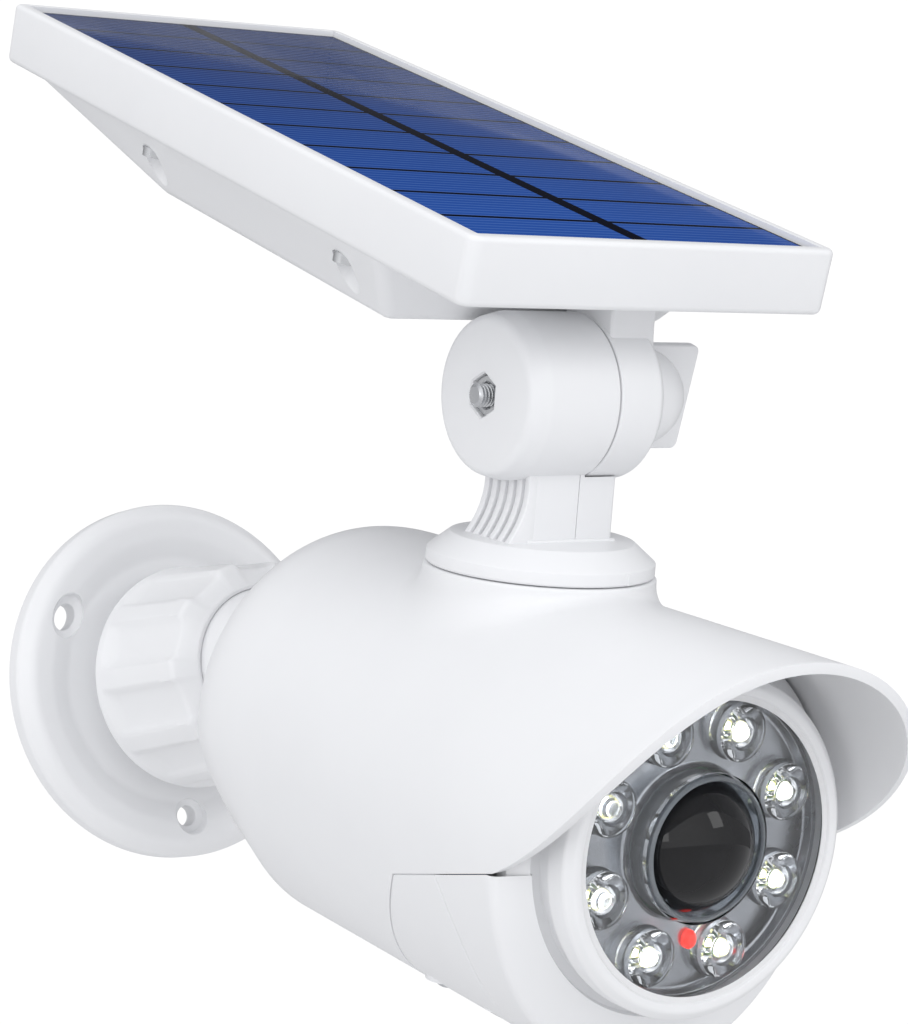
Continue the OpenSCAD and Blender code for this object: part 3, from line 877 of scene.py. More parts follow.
class Finishes:
    """Every material of the light, built from its finish."""

    def __init__(self) -> None:
        """Build the shared groups and the materials."""
        effects = Effects(build_grain(), build_wear_and_shade(), build_smears())
        # Hollows of the white, steel and reflector finishes darken as painted crease shade; on the rubber and black
        # finishes they lighten as soiling
        white = {"IOR": 1.5, "Specular IOR Level": 0.5}
        clear = {"Transmission Weight": 1.0, "IOR": 1.46}
        self.white = Finish(
            "satin_white_abs", (0.845, 0.85, 0.862), (0.82, 0.825, 0.838), (0.36, 0.44), 0.16, 0.00003, settings=white
        ).build(effects)
        self.ball_white = Finish(
            "polished_white_ball", (0.845, 0.85, 0.862), (0.81, 0.815, 0.828), (0.2, 0.3), 0.05, 0.00002,
            settings=white,
        ).build(effects)
        self.clear = GlossFinish(
            "clear_polycarbonate", (0.97, 0.985, 1.0), (0.94, 0.96, 0.98), (0.01, 0.06), settings=clear
        ).build(effects)
        self.lens = GlossFinish(
            "clear_acrylic_lens", (0.99, 0.995, 1.0), (0.96, 0.98, 1.0), (0.0, 0.04), settings=clear
        ).build(effects)
        self.blue_clear = GlossFinish(
            "blue_tinted_ring", (0.88, 0.94, 1.0), (0.8, 0.9, 1.0), (0.01, 0.06),
            settings={"Transmission Weight": 0.85, "IOR": 1.49},
        ).build(effects)
        self.smoked = GlossFinish(
            "smoked_sensor_lens", (0.010, 0.010, 0.011), (0.016, 0.016, 0.018), (0.03, 0.09),
            settings={"IOR": 1.5, "Specular IOR Level": 0.3},
        ).build(effects)
        self.steel = Finish(
            "zinc_plated_steel", (0.66, 0.67, 0.68), (0.52, 0.53, 0.55), (0.2, 0.36), 0.25, 0.00002, 3800.0, 90.0,
            grime_and_shade=(0.12, 0.11, 0.10), grime_and_shade_share=0.8, settings={"Metallic": 1.0},
        ).build(effects)
        self.reflector = Finish(
            "metallised_reflector", (0.50, 0.51, 0.53), (0.36, 0.37, 0.39), (0.16, 0.3), 0.1, 0.00002, 1800.0, 60.0,
            grime_and_shade=(0.10, 0.10, 0.11), grime_and_shade_share=0.6, settings={"Metallic": 1.0},
        ).build(effects)
        self.board = BoardFinish(
            "green_solder_mask", (0.015, 0.10, 0.045), (0.03, 0.20, 0.09), (0.3, 0.5), 0.3, 0.00004
        ).build(effects)
        self.phosphor = GlowFinish(
            "yellow_phosphor", (0.95, 0.86, 0.22), (0.98, 0.92, 0.45), (0.4, 0.6), cloud=300.0,
            glow=(1.0, 0.93, 0.45), strength=1.6,
        ).build(effects)
        self.lit = GlowFinish(
            "lit_chip", (0.96, 0.98, 1.0), (1.0, 1.0, 1.0), (0.3, 0.5), cloud=300.0, glow=(0.94, 0.97, 1.0),
            strength=45.0,
        ).build(effects)
        self.indicator = GlowFinish(
            "red_indicator", (0.9, 0.03, 0.02), (1.0, 0.10, 0.05), (0.25, 0.4), cloud=200.0, glow=(1.0, 0.02, 0.01),
            strength=1.4,
        ).build(effects)
        self.rubber = Finish(
            "black_rubber", (0.018, 0.018, 0.019), (0.028, 0.028, 0.029), (0.6, 0.8), 0.4, 0.00005, 1500.0, 60.0,
            grime_and_shade=(0.10, 0.095, 0.085), grime_and_shade_share=0.5,
        ).build(effects)
        self.black = Finish(
            "black_moulding", (0.025, 0.025, 0.027), (0.04, 0.04, 0.042), (0.45, 0.6), 0.25, 0.00004, 2200.0, 40.0,
            grime_and_shade=(0.09, 0.085, 0.08), grime_and_shade_share=0.4,
        ).build(effects)
        self.wrap = Finish(
            "blue_cell_sleeve", (0.02, 0.09, 0.38), (0.015, 0.07, 0.30), (0.25, 0.4), 0.15, 0.00004, 700.0, 50.0
        ).build(effects)
        self.wire = Finish(
            "red_wire_sleeve", (0.5, 0.02, 0.015), (0.4, 0.015, 0.012), (0.4, 0.55), 0.15, 0.00003, 900.0, 90.0
        ).build(effects)
        self.solar = SolarFinish(
            "solar_laminate", (0.020, 0.072, 0.30), (0.012, 0.05, 0.24), (0.12, 0.18), 0.06, 0.00004, cloud=18.0,
            settings={"IOR": 1.5, "Specular IOR Level": 0.004},
        ).build(effects)
        self.floor = Finish(
            "studio_floor", (0.90, 0.90, 0.90), (0.88, 0.88, 0.885), (0.6, 0.7), 0.02, 0.0001, 60.0, 2.0,
        ).build(effects)


# ---- Studio ----------------------------------------------------------------


@dataclass
class Studio:
    """The camera, the soft lights and the pale floor."""

    eye: tuple[float, float, float] = (-0.37844, -0.66957, -0.03679)
    right: tuple[float, float, float] = (0.8185, -0.5671, -0.0922)
    up: tuple[float, float, float] = (0.0210, -0.1308, 0.9912)
    lens: float = 105.47
    floor_drop: float = 0.48
    floor_radius: float = 3.0
    bright_side: tuple[float, float, float] = (-0.66, -0.74, 0.12)

    def build(self, finishes: Finishes) -> None:
        """Set up the studio.

        Args:
            finishes: The materials.
        """
        self.add_camera()
        self.add_lights()
        self.add_floor(finishes)

    def add_camera(self) -> None:
        """Place the camera."""
        camera = bpy.data.objects.new("camera", bpy.data.cameras.new("camera"))
        bpy.context.scene.collection.objects.link(camera)
        right = Vector(self.right).normalized()
        up = (Vector(self.up) - right * right.dot(Vector(self.up))).normalized()
        turn = Matrix((right, up, right.cross(up))).transposed().to_4x4()
        camera.matrix_world = Matrix.Translation(self.eye) @ turn
        camera.data.lens = self.lens
        camera.data.sensor_width = 36.0
        camera.data.clip_start = 0.01
        camera.data.dof.use_dof = False
        bpy.context.scene.camera = camera

    def add_light(
        self, name: str, place: Sequence[float], target: Sequence[float], size: tuple[float, float], power: float
    ) -> None:
        """Add a soft box.

        Args:
            name: The light's name.
            place: Where it stands.
            target: Where it points.
            size: Its width and height.
            power: Its power in watts.
        """
        lamp = bpy.data.lights.new(name, "AREA")
        lamp.shape = "RECTANGLE"
        lamp.size, lamp.size_y = size
        lamp.energy = power
        light = bpy.data.objects.new(name, lamp)
        bpy.context.scene.collection.objects.link(light)
        light.location = place
        light.rotation_euler = (Vector(target) - Vector(place)).to_track_quat("-Z", "Y").to_euler()

    def add_lights(self) -> None:
        """Add the soft boxes and the white surroundings."""
        middle = (0.0, -0.13, 0.0)
        self.add_light("key", (0.45, -1.25, 0.45), middle, (0.42, 0.5), 1.7)
        self.add_light("top", (-0.35, -0.3, 1.15), middle, (1.0, 1.0), 0.6)
        self.add_light("left", (-1.2, -0.75, 0.2), middle, (0.25, 0.5), 0.8)
        world = bpy.data.worlds.new("surroundings")
        bpy.context.scene.world = world
        world.use_nodes = True
        tree = world.node_tree
        tree.nodes.clear()
        coords = tree.nodes.new("ShaderNodeTexCoord")
        facing = tree.nodes.new("ShaderNodeVectorMath")
        facing.operation = "DOT_PRODUCT"
        facing.inputs[1].default_value = self.bright_side
        tree.links.new(coords.outputs["Generated"], facing.inputs[0])
        share = spread(tree, facing.outputs["Value"], -1.0, 1.0, 0.0, 1.0)
        soft = tree.nodes.new("ShaderNodeBackground")
        tree.links.new(blend_colours(tree, share, (0.06, 0.06, 0.065), (0.90, 0.905, 0.92)), soft.inputs["Color"])
        soft.inputs["Strength"].default_value = 1.55
        plain = tree.nodes.new("ShaderNodeBackground")
        plain.inputs["Color"].default_value = (1, 1, 1, 1)
        plain.inputs["Strength"].default_value = 1.05
        seen = tree.nodes.new("ShaderNodeLightPath")
        mix = tree.nodes.new("ShaderNodeMixShader")
        out = tree.nodes.new("ShaderNodeOutputWorld")
        tree.links.new(seen.outputs["Is Camera Ray"], mix.inputs[0])
        tree.links.new(soft.outputs[0], mix.inputs[1])
        tree.links.new(plain.outputs[0], mix.inputs[2])
        tree.links.new(mix.outputs[0], out.inputs["Surface"])
        bpy.context.scene.view_settings.view_transform = "Standard"

    def add_floor(self, finishes: Finishes) -> None:
        """Lay the pale floor under the light.

        Args:
            finishes: The materials.
        """
        low = CAD_BOX[0][2] - self.floor_drop
        mesh = bpy.data.meshes.new("floor")
        bm = bmesh.new()
        bmesh.ops.create_circle(bm, cap_ends=True, segments=96, radius=self.floor_radius)
        bmesh.ops.translate(bm, vec=(0, 0, low), verts=bm.verts[:])
        bm.to_mesh(mesh)
        bm.free()
        floor = bpy.data.objects.new("floor", mesh)
        mesh.materials.append(finishes.floor)
        bpy.context.scene.collection.objects.link(floor)
        log.info("studio: camera, three soft boxes and a floor at %.3f m", low)


# ---- Wall mount ------------------------------------------------------------


@dataclass
class WallMount:
    """The dished wall plate, its socket and the lobed clamp ring."""

    plate_radius: float = 0.0448
    rim_thick: float = 0.0085
    screw_circle: float = 0.0345
    socket_radius: float = 0.022
    socket_end: float = 0.044
    lobes: int = 10
    ring_rear: float = 0.013
    ring_front: float = 0.0503

    def build(self, finishes: Finishes) -> None:
        """Build the plate and the ring.

        Args:
            finishes: The materials.
        """
        self.build_plate(finishes)
        self.build_ring(finishes)

    def build_plate(self, finishes: Finishes) -> None:
        """Turn the plate and sink its screw holes.

        Args:
            finishes: The materials.
        """
        outer = self.plate_radius
        ball = 20.3 * MM
        mouth = math.sqrt(ball**2 - (self.socket_end - BALL_OUT) ** 2)
        cup = [
            (ball * math.sin(t), BALL_OUT - ball * math.cos(t))
            for t in [math.pi * k / 24 * 0.5 for k in range(25)]
        ]
        outline = soften(
            [
                (0.0, 0.0, 0.0),
                (outer - 1.2 * MM, 0.0, 0.0),
                (outer, 1.0 * MM, 0.8 * MM),
                (outer, self.rim_thick - 3.0 * MM, 2.2 * MM),
                (outer - 3.2 * MM, self.rim_thick, 3.4 * MM),
                (36.0 * MM, self.rim_thick - 1.0 * MM, 9.0 * MM),
                (31.0 * MM, 5.5 * MM, 5.0 * MM),
                (self.socket_radius + 0.6 * MM, 5.5 * MM, 0.5 * MM),
                (self.socket_radius, 6.2 * MM, 0.0),
                (self.socket_radius, self.socket_end - 0.5 * MM, 0.4 * MM),
                (mouth + 0.4 * MM, self.socket_end, 0.2 * MM),
                (mouth, self.socket_end, 0.0),
            ],
            steps=8,
        )
        bm = turned(outline + cup[::-1], 160)
        cutters = []
        for k in range(3):
            turn = math.radians(30 + 120 * k)
            long = 1.35 if k == 1 else 1.0
            bore = turned(
                soften(
                    [(0, -1 * MM, 0), (2.6 * MM, -1 * MM, 0), (2.6 * MM, 4.4 * MM, 0.3 * MM),
                     (4.3 * MM, 5.1 * MM, 0.5 * MM),
                     (4.4 * MM, 7.4 * MM, 0), (5.6 * MM, 9.0 * MM, 0), (5.6 * MM, 12 * MM, 0), (0, 12 * MM, 0)], 4
                ),
                40,
            )
            moved(bore, Matrix.Diagonal((1.0, long, 1.0, 1.0)))
            cutters.append(
                moved(bore, Matrix.Rotation(turn, 4, "Z") @ Matrix.Translation((self.screw_circle, 0, 0)))
            )
        bm = cut(bm, cutters)
        add_piece(
            "wall_plate_moulding", bm, Body.MOUNT, Slot.WHITE, finishes.white, AHEAD, ["wall_plate"], crease=38.0
        )

    def build_ring(self, finishes: Finishes) -> None:
        """Turn the clamp ring and press its finger flutes in.

        Args:
            finishes: The materials.
        """
        rear, front = self.ring_rear, self.ring_front
        outline = soften(
            [
                (22.6 * MM, rear, 0),
                (27.2 * MM, rear, 0.6 * MM),
                (27.9 * MM, rear + 1.4 * MM, 0.8 * MM),
                (27.5 * MM, rear + 3.4 * MM, 0.6 * MM),
                (25.5 * MM, front - 2.6 * MM, 2.4 * MM),
                (19.4 * MM, front + 0.3 * MM, 1.2 * MM),
                (18.5 * MM, front - 0.3 * MM, 0.3 * MM),
                (20.3 * MM, 45.5 * MM, 0),
                (22.6 * MM, 44.2 * MM, 0),
            ],
            steps=6,
        )
        bm = turned(outline, 200, closed=True)
        long = [e for e in bm.edges if abs(e.verts[0].co.z - e.verts[1].co.z) > 6 * MM]
        bmesh.ops.subdivide_edges(bm, edges=long, cuts=12, use_grid_fill=True)
        pitch = 2 * math.pi / self.lobes
        for vert in bm.verts:
            radius = math.hypot(vert.co.x, vert.co.y)
            if radius < 22.7 * MM:
                continue
            phase = (math.atan2(vert.co.y, vert.co.x) % pitch) / pitch
            hollow = math.sqrt(max(0.0, 1.0 - (abs(phase - 0.5) / 0.34) ** 2))
            rise = min(1.0, max(0.0, (vert.co.z - rear - 3.0 * MM) / (3.5 * MM)))
            fade = min(1.0, max(0.0, (front + 0.2 * MM - vert.co.z) / (3.0 * MM)))
            scale = 1.0 - 1.9 * MM * hollow * rise * rise * (3 - 2 * rise) * min(1.0, 0.25 + fade) / radius
            vert.co.x *= scale
            vert.co.y *= scale
        add_piece("clamp_ring_moulding", bm, Body.RING, Slot.WHITE, finishes.white, AHEAD, ["clamp_ring"], 50.0)


# ---- Head ------------------------------------------------------------------


@dataclass(frozen=True)
class HeadForm:
    """The head's outer form: a tube with a rounded rear and a belly that deepens towards the front."""

    radius: float = 0.04339
    lift: float = 0.00069
    nose_radius: float = 0.01601
    nose_lift: float = -0.00323
    belly: float = 0.04671
    dome_front: float = 0.06349
    dome_length: float = 0.02446
    crown: float = 3.97
    keel: float = 1.2
    top_taper: float = 0.0097
    belly_growth: float = 0.0383
    seam_ahead: float = 0.1625
    seam_height: float = -0.0042
    seam_slope: float = 0.274
    rear_top: tuple[float, float] = (0.1265, -0.01406)
    rear_low: tuple[float, float] = (0.105, -0.052)
    visor_axis: tuple[float, float] = (0.1296, 0.0597)
    visor_reach: float = 0.0719

    def radii(self, ahead: float) -> tuple[float, float, float, float]:
        """Give a cross-section.

        Args:
            ahead: Distance ahead of the ball's centre.

        Returns:
            Height of the centre, and the side, top and bottom radius.
        """
        t = min(1.0, max(0.0, (self.dome_front - ahead) / self.dome_length))
        crown = (1 - t**self.crown) ** (1 / self.crown)
        keel = (1 - t**self.keel) ** (1 / self.keel)
        on = max(0.0, ahead - 0.060)
        top = self.radius - self.top_taper * on
        low = self.belly + self.belly_growth * on
        nose = self.nose_radius
        return (
            self.nose_lift + (self.lift - self.nose_lift) * crown,
            nose + (self.radius - nose) * crown,
            nose + (top - nose) * crown,
            nose + (low - nose) * keel,
        )

    def point(self, ahead: float, turn: float, inset: float = 0.0) -> Vector:
        """Give a point of the surface.

        Args:
            ahead: Distance ahead of the ball's centre.
            turn: Angle from the top, in radians.
            inset: How far inside the surface it lies.

        Returns:
            The point in the head frame.
        """
        centre, side, top, low = self.radii(ahead)
        up = top if math.cos(turn) >= 0 else low
        return Vector(((side - inset) * math.sin(turn), -ahead, centre + (up - inset) * math.cos(turn)))

    def seam(self, ahead: float) -> float:
        """Height of the side seam."""
        return self.seam_height + (ahead - self.seam_ahead) * self.seam_slope

    def belly_rear(self, height: float) -> float:
        """How far ahead the belly cover's rear edge lies at a height."""
        share = (height - self.rear_top[1]) / (self.rear_low[1] - self.rear_top[1])
        return self.rear_top[0] + (self.rear_low[0] - self.rear_top[0]) * share

    def belly_front(self, height: float) -> float:
        """How far ahead the joint between belly cover and front housing lies at a height."""
        share = min(1.0, max(0.0, (-0.008 - height) / 0.022))
        return 0.1412 + 0.0075 * share * (2 - share)

    def visor_edge(self, height: float) -> float:
        """How far ahead the visor reaches at a height."""
        rise = max(height, self.seam_height - 0.006) - self.visor_axis[1]
        return self.visor_axis[0] + math.sqrt(max(0.0, self.visor_reach**2 - rise**2))

    def seam_turn(self, ahead: float, gap: float) -> float:
        """Angle from the top at which the surface meets the seam, a gap lower."""
        centre, _, _, low = self.radii(ahead)
        return math.acos(max(-1.0, min(1.0, (self.seam(ahead) - gap - centre) / low)))

    def height_over(self, x: float, ahead: float) -> float:
        """Height of the upper surface over a point."""
        centre, side, top, _ = self.radii(ahead)
        return centre + top * math.sqrt(max(0.0, 1 - (x / side) ** 2))


@dataclass
class Head:
    """The top shell with its visor and pedestal, the belly cover and the front housing."""

    form: HeadForm = field(default_factory=HeadForm)
    wall: float = 0.0022
    gap: float = 0.0002
    pedestal_radius: float = 0.0248
    pedestal_top: float = 0.045
    collar_radius: float = 0.0366
    collar_ahead: float = 0.1662
    tube_radius: float = 0.0336
    tube_front: float = 0.1715
    button_ahead: float = 0.136
    boot_radius: float = 0.008
    well_radius: float = 0.0035
    screw_across: float = 0.019
    screws_ahead: tuple[float, float] = (0.118, 0.139)

    def build(self, finishes: Finishes) -> None:
        """Build the housings.

        Args:
            finishes: The materials.
        """
        self.build_top(finishes)
        self.build_pedestal(finishes)
        self.build_belly(finishes)
        self.build_fasteners(finishes)
        self.build_front(finishes)
        self.build_collar(finishes)

    def build_top(self, finishes: Finishes) -> None:
        """Shape the top shell, part it along the seam and give it its wall.

        Args:
            finishes: The materials.
        """
        form = self.form
        turn_in = 0.150
        dome_rows, tube_rows, visor_rows = 26, 26, 26
        total = 1 + dome_rows + tube_rows + visor_rows

        def place(across: float, along: float) -> Vector:
            """Point of the shell for its share around and along.

            Args:
                across: Share of the way around, from 0 to 1.
                along: Share of the way along, from 0 to 1.

            Returns:
                The point in the head frame.
            """
            turn = (across * 2 - 1) * math.pi
            row = round(along * total)
            if row == 0:
                spot = form.point(form.dome_front - form.dome_length, turn)
                centre = form.nose_lift
                return Vector((spot.x * 0.72, spot.y, centre + (spot.z - centre) * 0.72))
            row -= 1
            if row <= dome_rows:
                psi = math.pi / 2 * (1 - row / dome_rows)
                ahead = form.dome_front - form.dome_length * math.sin(psi) ** (2 / form.crown)
                return form.point(ahead, turn)
            row -= dome_rows
            if row <= tube_rows:
                return form.point(form.dome_front + (turn_in - form.dome_front) * row / tube_rows, turn)
            share = (row - tube_rows) / visor_rows
            ahead = turn_in
            for _ in range(6):
                ahead = turn_in + share * (form.visor_edge(form.point(ahead, turn).z) - turn_in)
            return form.point(ahead, turn)

        bm = sheet(160, total, place)
        slope = form.seam_slope
        seam_point = Vector((0, -form.seam_ahead, form.seam_height))
        rear_run = Vector((form.rear_low[0] - form.rear_top[0], form.rear_low[1] - form.rear_top[1]))
        cuts = (
            (seam_point, Vector((0, slope, 1))),
            (Vector((0, -form.rear_top[0], form.rear_top[1])), Vector((0, rear_run.y, rear_run.x))),
        )
        for spot, normal in cuts:
            whole = bm.verts[:] + bm.edges[:] + bm.faces[:]
            bmesh.ops.bisect_plane(bm, geom=whole, dist=1e-7, plane_co=spot, plane_no=normal.normalized())
        spare = []
        for face in bm.faces:
            middle = face.calc_center_median()
            if middle.z < form.seam(-middle.y) and -middle.y > form.belly_rear(middle.z):
                spare.append(face)
        bmesh.ops.delete(bm, geom=spare, context="FACES")
        bmesh.ops.remove_doubles(bm, verts=bm.verts[:], dist=2e-5)
        face_away(bm, lambda p: Vector((0, p.y - 0.001, 0)))
        shell = add_piece(
            "top_shell_moulding", bm, Body.HEAD, Slot.WHITE, finishes.white, HEAD, ["top_shell"], crease=40.0
        )
        thicken(shell, self.wall, 0.45 * MM)

    def build_pedestal(self, finishes: Finishes) -> None:
        """Raise the round pedestal out of the shell with a soft foot.

        Args:
            finishes: The materials.
        """
        form, radius, foot = self.form, self.pedestal_radius, 5.0 * MM

        def height(turn: float, reach: float) -> float:
            """Height of the shell at a distance from the pedestal's axis."""
            return form.height_over(reach * math.sin(turn), SWIVEL_AHEAD + reach * math.cos(turn))

        def place(across: float, along: float) -> Vector:
            """Point of the pedestal for its share around and up.

            Args:
                across: Share of the way around, from 0 to 1.
                along: Share of the way up, from 0 to 1.

            Returns:
                The point in the head frame.
            """
            turn = across * 2 * math.pi
            step = round(along * 14)
            base = height(turn, radius + foot)
            fall = (base - height(turn, radius + foot * 0.8)) / (0.2 * foot)
            corner = base - fall * foot
            top = min(corner + foot, self.pedestal_top - 1.0 * MM)
            if step <= 9:
                t = step / 9
                reach = (radius + foot) * (1 - t) ** 2 + radius * 2 * t * (1 - t) + radius * t**2
                up = (base - 0.03 * MM) * (1 - t) ** 2 + corner * 2 * t * (1 - t) + top * t**2
            elif step <= 10:
                reach, up = radius, self.pedestal_top - 0.5 * MM
            elif step <= 13:
                t = (step - 10) / 3 * math.pi / 2
                reach = radius - 0.5 * MM * (1 - math.cos(t))
                up = self.pedestal_top - 0.5 * MM * (1 - math.sin(t))
            else:
                reach, up = 9.2 * MM, self.pedestal_top
            return Vector((reach * math.sin(turn), -SWIVEL_AHEAD - reach * math.cos(turn), up))

        bm = sheet(128, 14, place)
        face_away(bm, lambda p: Vector((0, -SWIVEL_AHEAD, p.z - 0.01)))
        add_piece("pedestal_moulding", bm, Body.HEAD, Slot.WHITE, finishes.white, HEAD, ["top_shell"], crease=60.0)

    def build_belly(self, finishes: Finishes) -> None:
        """Shape the belly cover between its rear edge and the front joint.

        Args:
            finishes: The materials.
        """
        form, gap = self.form, self.gap

        def place(across: float, along: float) -> Vector:
            """Point of the cover for its share around and along.

            Args:
                across: Share of the way around, from 0 to 1.
                along: Share of the way along, from 0 to 1.

            Returns:
                The point in the head frame.
            """
            ahead = 0.13
            spot = Vector()
            for _ in range(12):
                side = form.seam_turn(ahead, gap)
                spot = form.point(ahead, side + across * 2 * (math.pi - side), 0.05 * MM)
                rear, front = form.belly_rear(spot.z) + gap, form.belly_front(spot.z) - gap / 2
                ahead = rear + along * (front - rear)
            return spot

        bm = sheet(96, 20, place)
        face_away(bm, lambda p: Vector((0, p.y, 0)))
        below, above, seat_low, seat_high = -60 * MM, -40 * MM, -41.1 * MM, -39.4 * MM
        well, boot, shank, boss = self.well_radius, self.boot_radius, 1.6 * MM, 5.0 * MM
        wells = [
            moved(turned([(0, below), (well, below), (well, above), (0, above)], 40), spot)
            for spot in self.screw_spots()
        ]
        hole = turned([(0, below), (boot, below), (boot, above), (0, above)], 64)
        wells.append(moved(hole, Matrix.Translation((0, -self.button_ahead, 0))))
        bm = cut(walled(bm, self.wall, 0.35 * MM), wells)
        seat = [(shank, seat_low), (boss, seat_low), (boss, seat_high), (shank, seat_high)]
        seats = [moved(turned(seat, 40, closed=True), spot) for spot in self.screw_spots()]
        add_piece(
            "belly_cover_moulding", together([bm, *seats]), Body.HEAD, Slot.WHITE, finishes.white, HEAD,
            ["belly_cover"], crease=40.0,
        )

    def screw_spots(self) -> list[Matrix]:
        """Places of the four screws that hold the belly cover."""
        across = self.screw_across
        return [Matrix.Translation((x, -ahead, 0)) for x in (-across, across) for ahead in self.screws_ahead]

    def build_fasteners(self, finishes: Finishes) -> None:
        """Turn the sunk screws under the belly and the rubber boot round the button.

        Args:
            finishes: The materials.
        """
        screws = []
        for spot in self.screw_spots():
            screw = turned(
                soften([(0, -42.9 * MM, 0), (1.7 * MM, -42.8 * MM, 1.0 * MM), (2.7 * MM, -42.1 * MM, 0.6 * MM),
                        (2.7 * MM, -41.15 * MM, 0.1 * MM), (1.45 * MM, -41.15 * MM, 0), (1.45 * MM, -32.2 * MM, 0),
                        (0, -32.2 * MM, 0)], 4), 40
            )
            slots = [
                slab((-1.7 * MM, -0.32 * MM, -44 * MM), (1.7 * MM, 0.32 * MM, -42.0 * MM)),
                slab((-0.32 * MM, -1.7 * MM, -44 * MM), (0.32 * MM, 1.7 * MM, -42.0 * MM)),
            ]
            screws.append(moved(cut(screw, slots), spot))
        add_piece(
            "belly_screw_set", together(screws), Body.HEAD, Slot.STEEL, finishes.steel, HEAD, ["cover_screws"], 32.0
        )
        inner, outer, high = 5.35 * MM, self.boot_radius - 0.05 * MM, -46.4 * MM
        boot = turned(
            soften([(inner, -48.7 * MM, 0.2 * MM), (5.9 * MM, -49.1 * MM, 0.4 * MM),
                    (self.boot_radius - 0.6 * MM, -49.0 * MM, 0.5 * MM), (outer, -48.3 * MM, 0.3 * MM),
                    (outer, high, 0), (inner, high, 0)], 5), 96, closed=True
        )
        place = HEAD @ Matrix.Translation((0, -self.button_ahead, 0))
        add_piece("button_boot_ring", boot, Body.HEAD, Slot.RUBBER, finishes.rubber, place, ["button_boot"], 32.0)

    def build_front(self, finishes: Finishes) -> None:
        """Shape the lower band of the front housing and its coned shoulder.

        Args:
            finishes: The materials.
        """
        form, gap = self.form, self.gap
        rows = 10
        shoulder = 0.1622
        rounding = 1.6 * MM

        def place(across: float, along: float) -> Vector:
            """Point of the band for its share around and along.

            Args:
                across: Share of the way around, from 0 to 1.
                along: Share of the way along, from 0 to 1.

            Returns:
                The point in the head frame.
            """
            row = round(along * (rows + 13))
            ahead = 0.15
            spot = Vector()
            share = min(1.0, row / rows)
            turn = math.pi
            for _ in range(12):
                side = form.seam_turn(ahead, gap)
                turn = side + across * 2 * (math.pi - side)
                spot = form.point(ahead, turn, 0.05 * MM)
                rear = form.belly_front(spot.z) + gap / 2
                ahead = rear + share * (shoulder - rounding - rear)
            if row <= rows:
                return spot
            centre = Vector((0, -self.collar_ahead, 0))
            inner = centre + Vector((spot.x, 0, spot.z)).normalized() * self.collar_radius
            if row <= rows + 6:
                t = (row - rows) / 6
                corner = Vector((spot.x, -shoulder, spot.z))
                run = (inner - corner).normalized() * rounding
                return spot * (1 - t) ** 2 + corner * (2 * t * (1 - t)) + (corner + run) * t**2
            corner = Vector((spot.x, -shoulder, spot.z))
            begin = corner + (inner - corner).normalized() * rounding
            if row <= rows + 11:
                t = (row - rows - 6) / 5
                return begin.lerp(inner, t)
            inward = Vector((spot.x, 0, spot.z)).normalized()
            back = (row - rows - 11) / 2
            return inner - inward * (0.4 * MM * back) + Vector((0, 0.4 * MM + 1.2 * MM * (back - 0.5), 0)) * back

        bm = sheet(112, rows + 13, place)
        face_away(bm, lambda p: Vector((0, -0.150, 0)))
        add_piece(
            "front_band_moulding", bm, Body.HEAD, Slot.WHITE, finishes.white, HEAD, ["front_housing"], crease=60.0
        )

    def build_collar(self, finishes: Finishes) -> None:
        """Turn the closed collar that carries the lamp.

        Args:
            finishes: The materials.
        """
        flange = 0.0404
        inner = 0.0314
        outline = soften(
            [
                (inner, 0.1500, 0),
                (36.0 * MM, 0.1500, 0),
                (36.0 * MM, 0.1600, 0),
                (flange, 0.1600, 0),
                (flange, 0.1629, 0.3 * MM),
                (self.collar_radius, self.collar_ahead - 0.15 * MM, 0.5 * MM),
                (self.collar_radius - 0.5 * MM, self.collar_ahead - 1.2 * MM, 0.3 * MM),
                (self.tube_radius, self.collar_ahead - 1.6 * MM, 0.4 * MM),
                (self.tube_radius, self.tube_front - 0.2 * MM, 0.2 * MM),
                (inner, self.tube_front, 0),
            ],
            steps=5,
        )
        bm = turned(outline, 160, closed=True)
        add_piece("lamp_collar_moulding", bm, Body.HEAD, Slot.WHITE, finishes.white, HEAD @ AHEAD, ["front_housing"])


# ---- Lamp ------------------------------------------------------------------


